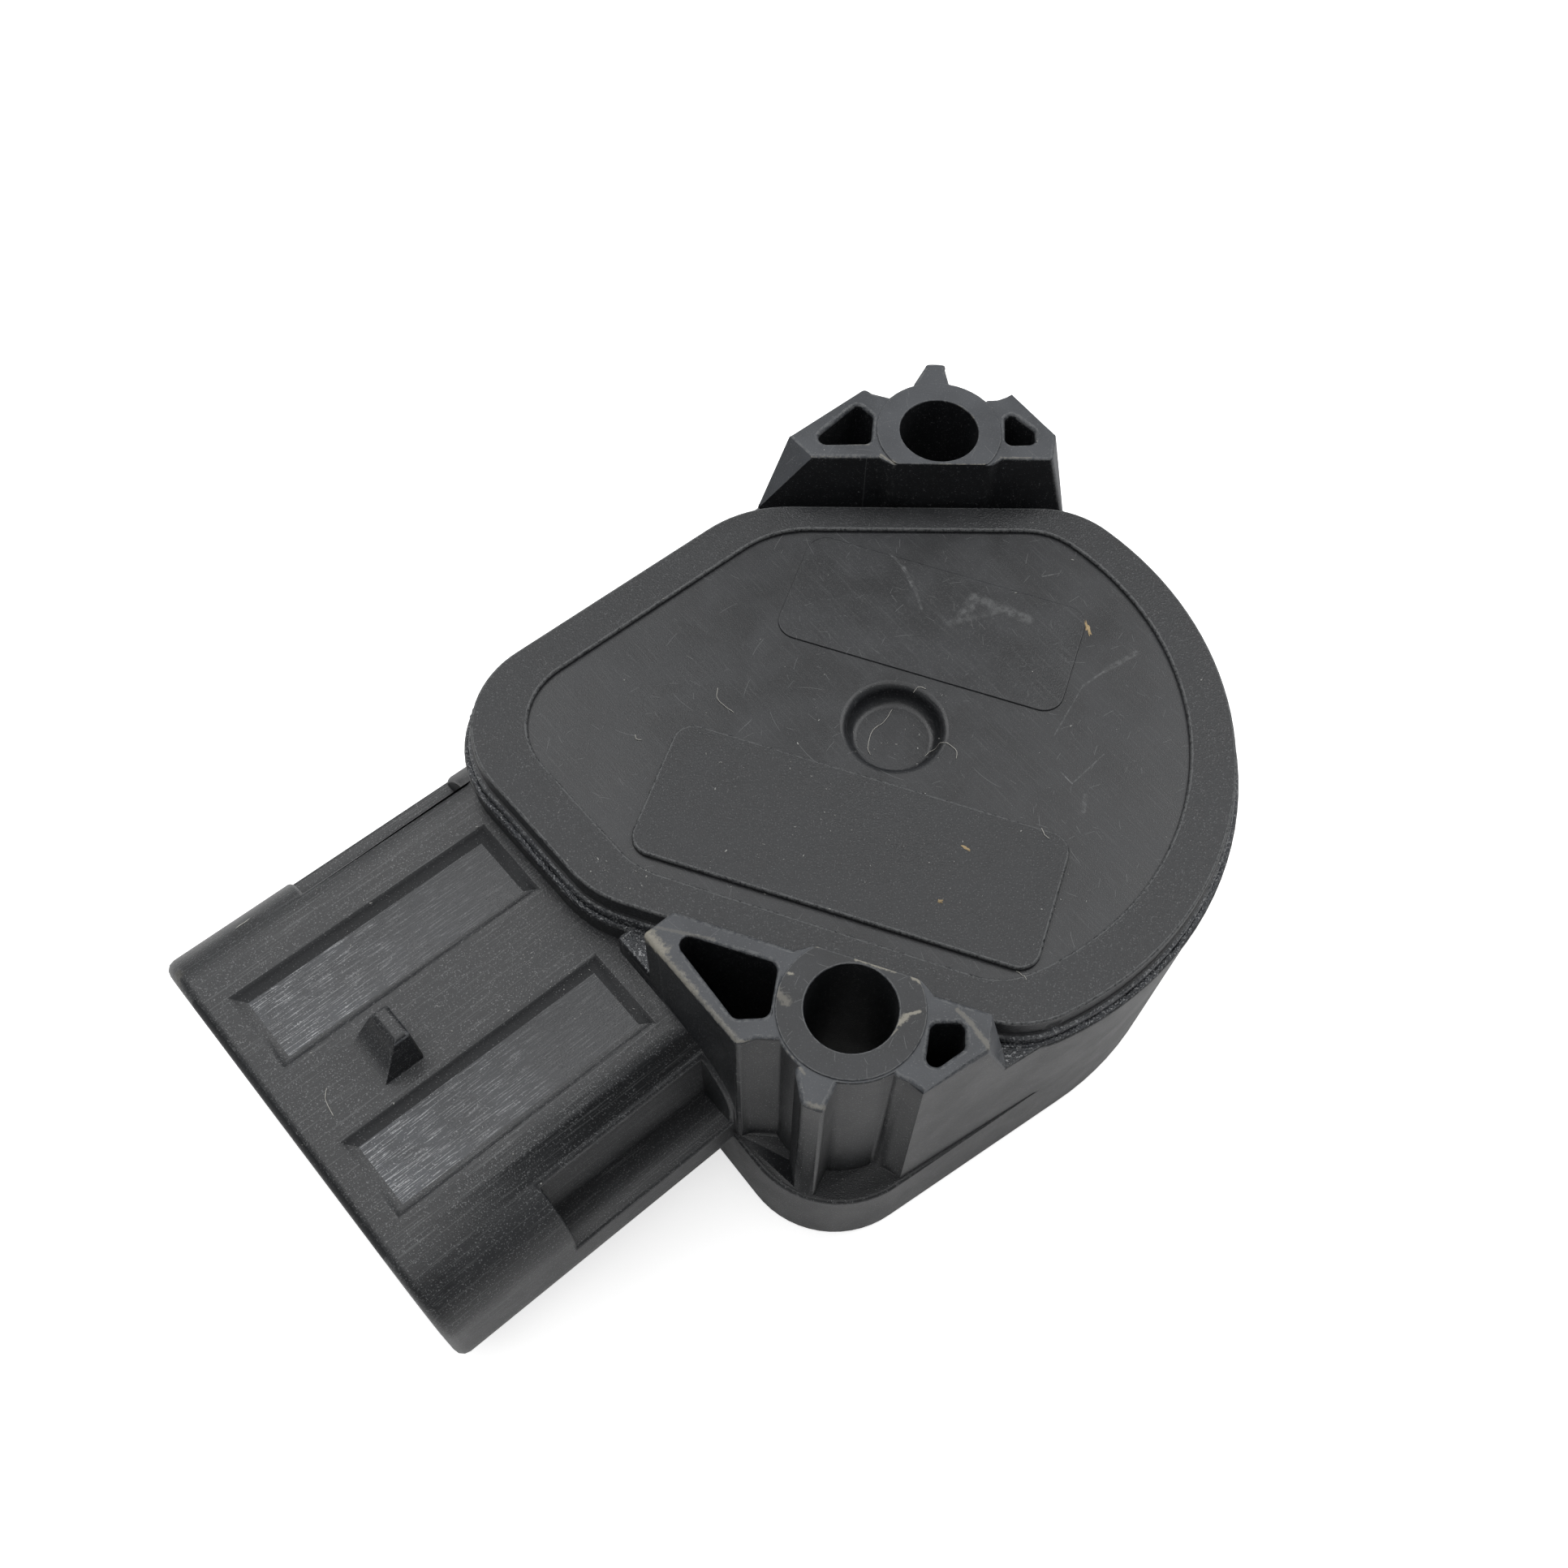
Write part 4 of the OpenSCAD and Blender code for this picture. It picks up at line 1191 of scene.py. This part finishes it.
class SENSOR_OT_stage(bpy.types.Operator):
    """Set up the floor, the lamps, the even light and the camera"""

    bl_idname = "sensor.set_stage"
    bl_label = "Set the stage"

    def execute(self, context):
        stage = context.scene.sensor_stage
        context.scene.view_settings.view_transform = "Standard"
        self.lay_floor(context, stage)
        self.light(context, stage)
        self.aim_camera(context, stage)
        return {"FINISHED"}

    @staticmethod
    def lay_floor(context, stage):
        """A wide pale floor just under the part."""
        mesh = bpy.data.meshes.new("studio_floor")
        reach, drop = 1.0, 0.02 * MM
        corners = ((-1, -1), (1, -1), (1, 1), (-1, 1))
        mesh.from_pydata([(x * reach, y * reach, -drop) for x, y in corners], [], [(0, 1, 2, 3)])
        floor = bpy.data.objects.new("studio_floor", mesh)
        context.scene.collection.objects.link(floor)
        material, tree, shader = new_material("Studio floor")
        shader.inputs["Base Color"].default_value = (*stage.floor, 1)
        shader.inputs["Roughness"].default_value = 0.9
        shader.inputs["Specular IOR Level"].default_value = 0.0
        rays = tree.nodes.new("ShaderNodeLightPath").outputs
        direct = strongest(tree, [rays["Is Camera Ray"], rays["Is Transmission Ray"]])
        glossy = times(tree, rays["Is Glossy Ray"], stage.floor_gloss)
        shown = strongest(tree, [times(tree, direct, stage.floor_glow), glossy])
        glow = put(tree, "ShaderNodeEmission", {"Color": (1, 1, 1, 1), "Strength": shown})
        both = put(tree, "ShaderNodeAddShader", {0: shader.outputs[0], 1: glow.outputs[0]})
        plug(tree, tree.nodes["Material Output"].inputs["Surface"], both.outputs[0])
        mesh.materials.append(material)
        floor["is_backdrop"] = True

    @staticmethod
    def light(context, stage):
        """An even sky, a broad lamp overhead, and two smaller ones at the back."""
        world = bpy.data.worlds.new("Studio light")
        context.scene.world = world
        world.use_nodes = True
        tree = world.node_tree
        even = tree.nodes["Background"]
        even.inputs["Color"].default_value = (1, 1, 1, 1)
        even.inputs["Strength"].default_value = stage.sky
        white = put(tree, "ShaderNodeBackground", {"Color": (1, 1, 1, 1), "Strength": 1.0})
        rays = tree.nodes.new("ShaderNodeLightPath").outputs
        seen = strongest(tree, [rays["Is Camera Ray"], rays["Is Transmission Ray"]])
        mix = put(tree, "ShaderNodeMixShader", {0: seen, 1: even.outputs[0], 2: white.outputs[0]})
        plug(tree, tree.nodes["World Output"].inputs["Surface"], mix.outputs[0])
        lamps = (
            ("overhead_lamp", (-0.05, -0.06, 0.55), 0.60, stage.overhead),
            ("left_lamp", (-0.33, 0.30, 0.50), 0.40, stage.left),
            ("right_lamp", (0.29, 0.30, 0.50), 0.40, stage.right),
        )
        for name, spot, size, power in lamps:
            lamp = bpy.data.lights.new(name, "AREA")
            lamp.size = size
            lamp.energy = power
            holder = bpy.data.objects.new(name, lamp)
            holder.location = spot
            holder.rotation_euler = Vector(spot).to_track_quat("Z", "Y").to_euler()
            context.scene.collection.objects.link(holder)

    @staticmethod
    def aim_camera(context, stage):
        """The camera at the photograph's place and angle."""
        az, el, roll = stage.azimuth, stage.elevation, stage.roll
        back = Vector((math.sin(az) * math.cos(el), -math.cos(az) * math.cos(el), math.sin(el)))
        level = Vector((math.cos(az), math.sin(az), 0))
        rise = back.cross(level)
        right = math.cos(roll) * level + math.sin(roll) * rise
        up = math.cos(roll) * rise - math.sin(roll) * level
        camera = bpy.data.cameras.new("photo_camera")
        camera.lens = stage.lens
        camera.sensor_width = 36
        camera.shift_x = -0.0474
        camera.shift_y = 0.0459
        camera.clip_start = 0.005
        holder = bpy.data.objects.new("photo_camera", camera)
        placed = Matrix((right, up, back)).transposed().to_4x4()
        placed.translation = Vector(stage.eye)
        holder.matrix_world = placed
        context.scene.collection.objects.link(holder)
        context.scene.camera = holder


class SENSOR_OT_housing(bpy.types.Operator):
    """Round the housing's moulded edges and give each region its finish"""

    bl_idname = "sensor.mould_housing"
    bl_label = "Mould the housing"

    def execute(self, context):
        shape = context.scene.sensor_shape
        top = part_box("housing")[1].z
        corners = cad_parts["housing"].data.vertices
        reach = max(vert.co.dot(SOCKET_ALONG) for vert in corners)
        walls = spaced(outline_at("lid", SEAM), MM)

        def finer(edge):
            """The wanted radius of one edge: large round the mouth, none in the closed space."""
            spots = [vert.co for vert in edge.verts]
            if all(
                SPACE_FLOOR < spot.z < SEAM - 0.05 * MM
                and all((wall - spot.xy).dot(out) > SPACE_MARGIN for wall, out in walls)
                for spot in spots
            ):
                return 0
            if all(spot.dot(SOCKET_ALONG) > reach - 0.01 * MM for spot in spots):
                outside = all(
                    abs(spot.dot(SOCKET_ACROSS) - SOCKET_SHIFT) > MOUTH_HALF
                    or not MOUTH_LOW < spot.z < MOUTH_HIGH
                    for spot in spots
                )
                return shape.mouth_edge if outside else shape.housing_edge
            if all(spot.z > top - 0.02 * MM for spot in spots):
                return RING_EDGE
            return shape.housing_edge

        def choose(centre, normal):
            """The finish of the face at one spot."""
            along = centre.dot(SOCKET_ALONG)
            aside = abs(centre.dot(SOCKET_ACROSS) - SOCKET_SHIFT)
            if normal.z > FACES_UP and centre.z > top - 0.05 * MM and centre.y < 0:
                return "ring"
            if normal.z > 0.6 and centre.z > top - 0.6 * MM:
                return "ear"
            if normal.z > 0.12 and centre.z > LID_TOP - 2 * MM and abs(normal.x) > 0.5:
                return "ear"
            if along > SOCKET_ROOT and aside < SOCKET_HALF and centre.z > SOCKET_FOOT:
                inside = PANEL_FLOOR < centre.z < PANEL_RIM and aside < PANEL_HALF
                if inside and normal.z > 0.99:
                    return "panel"
                # panel walls that face across or along the socket get the darker, duller panel wall
                # plastic as painted shade
                shaded = max(normal.dot(SOCKET_ACROSS), normal.dot(SOCKET_ALONG)) > 0.2
                return "panel wall" if inside and normal.z < 0.95 and shaded else "socket"
            if normal.z > FACES_UP and abs(centre.z - SEAM) < 0.1 * MM:
                return "seam"
            return "housing"

        piece = rounded_copy("housing", "housing_moulding", shape.mouth_edge, finer=finer)
        kinds = ("housing", "ear", "ring", "socket", "panel", "seam", "panel wall")
        give_slots(piece, kinds, choose)
        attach(piece, "base")
        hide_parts("housing")
        return {"FINISHED"}


class SENSOR_OT_lid(bpy.types.Operator):
    """Round the lid's moulded edges and give its band, field and pads their finish"""

    bl_idname = "sensor.mould_lid"
    bl_label = "Mould the lid"

    def execute(self, context):
        def choose(centre, normal):
            """The finish of the face at one spot."""
            radius = centre.xy.length
            if SEAM < centre.z < SEAM + FLANGE + 0.05 * MM and radius > BOSS_RADIUS:
                return "seam" if normal.z > -0.5 else "band"
            if SEAM < centre.z < PAD_LIMIT and normal.z > 0.2:
                return "field" if radius < FIELD_RADIUS or centre.z < FIELD_LIMIT else "band"
            return "band"

        piece = rounded_copy("lid", "lid_moulding", context.scene.sensor_shape.lid_edge)
        give_slots(piece, ("band", "field", "seam"), choose)
        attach(piece, "base")
        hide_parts("lid")
        return {"FINISHED"}


class SENSOR_OT_bead(bpy.types.Operator):
    """Add the crumbs that the weld leaves along the lid's seam"""

    bl_idname = "sensor.add_weld_bead"
    bl_label = "Add the weld bead"

    def execute(self, context):
        shape = context.scene.sensor_shape
        bead = weld_bead(shape.bead_width, shape.bead_height, plastic("seam"))
        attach(bead, "base")
        return {"FINISHED"}


# in millimetres, seen from above: the routes of the fibres
FIBRES = [
    [(-0.4, 2.8), (-0.9, 1.5), (-1.75, 0.4), (-1.9, -1.2), (-1.6, -1.9)],
    [(2.8, -1.3), (3.3, -0.8), (4.3, -0.85), (5.2, -1.45), (5.3, -2.2)],
    [(-14.7, 1.1), (-14.6, 0.2), (-14.0, -0.4), (-13.0, -1.0)],
    [(-20.4, -4.4), (-20.2, -4.8), (-19.8, -4.8)],
    [(11.8, -19.9), (12.3, -20.2), (12.6, -20.7)],
    [(-48.3, -23.7), (-47.5, -22.7)],
    [(-37.4, -35.5), (-37.2, -36.4), (-36.3, -37.5)],
    [(1.1, 3.7), (1.5, 4.1), (2.1, 4.0)],
    [(12.6, -7.6), (12.9, -8.2), (13.3, -8.5)],
]
# in millimetres, seen from above: where specks may lie, with each area's share
SPECK_AREAS = [
    (-26, 26, -20, 20, 1.0),
    (-4, 4, -4, 4, 0.4),
    (-17, 17, -18, -5, 1.0),
    (-45, -20, -45, -12, 1.2),
    (-26, -16, -27, -16, 1.2),
    (-12, 12, 22, 34, 0.3),
    (-14, 10, -35, -22, 0.3),
]


class SENSOR_OT_debris(bpy.types.Operator):
    """Lay lint fibres, dust specks and the crust beside the label pad"""

    bl_idname = "sensor.lay_debris"
    bl_label = "Lay dust and lint"

    def execute(self, context):
        shape, finish = context.scene.sensor_shape, context.scene.sensor_finish
        mouldings = ("housing_moulding", "lid_moulding")
        skins = [skin_tree(bpy.data.objects[name]) for name in mouldings]
        lint = plain_stuff("Lint", (0.42, 0.41, 0.38), 0.7, (0.05, 0.004), 0.2, 0.0)
        crust = plain_stuff("Crust", finish.chip, 0.8, (0.12, 0.03), 0.35, 0.0)
        grit = plain_stuff("Grit", (0.26, 0.26, 0.25), 0.6, (0.05, 0.01), 0.5, 0.0)
        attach(lay_fibres(skins, FIBRES, shape.fibre_width, lint), "base")
        specks = strew_specks(skins, SPECK_AREAS, shape.speck_count, shape.speck_size, grit)
        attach(specks, "base")
        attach(self.crust(skins, crust), "base")
        return {"FINISHED"}

    @staticmethod
    def crust(skins, material):
        """A thin crumbled crust along the end of the label pad, and two flakes on the lower pad."""
        verts, faces = [], []
        patches = (
            ((14.85, 12.55), (0.22, 0.85), 0.35, 0.12),
            ((6.9, -10.4), (0.5, 0.13), -0.5, 0.12),
            ((5.45, -15.3), (0.2, 0.2), 0.0, 0.1),
        )
        rings, spokes = 5, 22
        for (cx, cy), (half_x, half_y), lean, high in patches:
            first = len(verts)
            for ring in range(rings + 1):
                for spoke in range(spokes):
                    turn = math.tau * spoke / spokes
                    out = ring / rings
                    edge = Vector((math.cos(turn) * 3.2, math.sin(turn) * 3.2, cx))
                    ragged = 1 + 0.9 * noise.noise(edge)
                    x0 = half_x * out * ragged * math.cos(turn)
                    y0 = half_y * out * ragged * math.sin(turn)
                    x = cx + x0 * math.cos(lean) - y0 * math.sin(lean)
                    y = cy + x0 * math.sin(lean) + y0 * math.cos(lean)
                    bump = noise.noise(Vector((x * 3, y * 3, 0.5)))
                    lift = high * (1 - out**3) * (0.6 + 0.5 * bump)
                    lift -= 0.03 if ring == rings else 0
                    verts.append((x * MM, y * MM, highest(skins, x * MM, y * MM) + lift * MM))
            faces.extend(ring_faces(rings + 1, spokes, first))
        crust = mesh_piece("dried_crust", verts, faces, material)
        work = bmesh.new()
        work.from_mesh(crust.data)
        bmesh.ops.remove_doubles(work, verts=work.verts, dist=1e-7)
        bmesh.ops.recalc_face_normals(work, faces=work.faces)
        work.to_mesh(crust.data)
        work.free()
        return crust


class SENSOR_OT_mechanism(bpy.types.Operator):
    """Give the rotor, its springs and wipers, the board and the terminals their finishes"""

    bl_idname = "sensor.finish_mechanism"
    bl_label = "Finish the mechanism"

    def execute(self, context):
        finish = context.scene.sensor_finish
        rotor = plain_stuff("Rotor plastic", finish.rotor, 0.45, (0.14, 0.01), 0.08, 0.2)
        rubber = plain_stuff("Seal rubber", finish.rubber, 0.55, (0.06, 0.01), 0.2, 0.3)
        board = plain_stuff("Board laminate", finish.board, 0.4, (0.25, 0.006), 0.15, 0.2)
        ink = plain_stuff("Track ink", finish.ink, 0.5, (0.05, 0.006), 0.25, 0.1)
        sealant = plain_stuff("Terminal sealant", finish.sealant, 0.3, (0.4, 0.02), 0.2, 0.3)
        steel = metal("Spring steel", finish.steel, 0.28)
        alloy = metal("Wiper alloy", finish.alloy, 0.25)
        tin = metal("Terminal tin", finish.tin, 0.3, SOCKET_TURN, 0.15)
        solder = metal("Solder", tone(finish.tin, 0.95), 0.22, 0.0, 0.1)
        stuffs = (
            ("rotor_seal", rubber),
            ("rotor", rotor),
            ("element_board", board),
            ("track", ink),
            ("terminal_sealant", sealant),
            ("return_spring", steel),
            ("spring_washer", steel),
            ("wiper", alloy),
            ("terminal_", tin),
            ("solder", solder),
        )
        for name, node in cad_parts.items():
            if name in ("housing", "lid"):
                continue
            found = [material for start, material in stuffs if name.startswith(start)]
            if not found:
                raise RuntimeError(f"no finish for {name}")
            node.data.materials.clear()
            node.data.materials.append(found[0])
        return {"FINISHED"}


def spring_route():
    """Centre line of the return spring: the housing's leg, the coil, and the rotor's leg."""
    start, end = math.radians(SPRING_START), math.radians(SPRING_END)
    foot = SPRING_BEND / SPRING_RADIUS

    def out(turn):
        """Direction from the axis at this angle."""
        return Vector((math.cos(turn), math.sin(turn), 0))

    def onward(turn):
        """Direction round the axis at this angle."""
        return Vector((-math.sin(turn), math.cos(turn), 0))

    def coil(turn):
        """Point of the coil at this angle."""
        rise = SPRING_PITCH * (turn - start) / math.tau
        return out(turn) * SPRING_RADIUS + UP * (SPRING_FOOT + rise)

    def bend(centre, first, second):
        """A quarter bend round a centre, from one direction to another."""
        steps = [math.radians(degrees) for degrees in range(0, 91, 15)]
        return [centre + (first * math.cos(s) + second * math.sin(s)) * SPRING_BEND for s in steps]

    corner = coil(start) + (out(start) + onward(start)) * SPRING_BEND
    route = [coil(start) + out(start) * SPRING_LEG]
    route += bend(corner, -onward(start), -out(start))
    count = 36 * round((end - start) / math.tau)
    span = end - start - 2 * foot
    route += [coil(start + foot + span * step / count) for step in range(1, count)]
    corner = coil(end) + (UP - onward(end)) * SPRING_BEND
    route += bend(corner, -UP, onward(end))
    route.append(Vector((route[-1].x, route[-1].y, SPRING_TOP)))
    return route


class SENSOR_OT_spring(bpy.types.Operator):
    """Wind the return spring from round wire"""

    bl_idname = "sensor.wind_spring"
    bl_label = "Wind the return spring"

    def execute(self, context):
        route = spring_route()
        across = UP.cross(route[1] - route[0]).normalized()
        sideways = []
        for index in range(len(route)):
            ahead = ahead_at(route, index)
            across = (across - ahead * across.dot(ahead)).normalized()
            sideways.append(across)
        verts, faces = [], []
        tube(verts, faces, route, sideways, [SPRING_WIRE] * len(route), 12)
        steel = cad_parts["return_spring"].data.materials[0]
        wire = mesh_piece("return_spring_wire", verts, faces, steel)
        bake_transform(wire)
        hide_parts("return_spring")
        return {"FINISHED"}


class SENSOR_PT_panel(bpy.types.Panel):
    """The sensor's steps and settings in the 3D view's sidebar"""

    bl_idname = "SENSOR_PT_panel"
    bl_label = "Throttle position sensor"
    bl_space_type = "VIEW_3D"
    bl_region_type = "UI"
    bl_category = "Sensor"

    def draw(self, context):
        """Lists the steps, then the settings that they read."""
        for step in STEPS:
            self.layout.operator(step.bl_idname, text=step.bl_label)
        for group in (
            context.scene.sensor_shape,
            context.scene.sensor_finish,
            context.scene.sensor_stage,
        ):
            box = self.layout.box()
            for name in group.bl_rna.properties.keys():
                if name not in ("rna_type", "name"):
                    box.prop(group, name)


STEPS = (
    SENSOR_OT_stage,
    SENSOR_OT_housing,
    SENSOR_OT_lid,
    SENSOR_OT_bead,
    SENSOR_OT_debris,
    SENSOR_OT_mechanism,
    SENSOR_OT_spring,
)
SETTINGS = (
    ("sensor_shape", SensorShape),
    ("sensor_finish", SensorFinish),
    ("sensor_stage", SensorStage),
)


def register():
    """Adds the settings, the steps and the panel to Blender."""
    for name, kind in SETTINGS:
        bpy.utils.register_class(kind)
        setattr(bpy.types.Scene, name, PointerProperty(type=kind))
    for kind in (*STEPS, SENSOR_PT_panel):
        bpy.utils.register_class(kind)


def unregister():
    """Takes them out again."""
    for kind in (SENSOR_PT_panel, *reversed(STEPS)):
        bpy.utils.unregister_class(kind)
    for name, kind in reversed(SETTINGS):
        delattr(bpy.types.Scene, name)
        bpy.utils.unregister_class(kind)


def main():
    """Builds the dressed sensor on its stage and works out its size."""
    register()
    bpy.ops.sensor.set_stage()
    bpy.ops.sensor.mould_housing()
    bpy.ops.sensor.mould_lid()
    bpy.ops.sensor.add_weld_bead()
    bpy.ops.sensor.lay_debris()
    bpy.ops.sensor.finish_mechanism()
    bpy.ops.sensor.wind_spring()
    bpy.context.view_layer.update()
    boxes = {"cad": CAD_BOX, "scene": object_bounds()}
    {key: [list(corner) for corner in box] for key, box in boxes.items()}


if __name__ == "__main__":
    main()
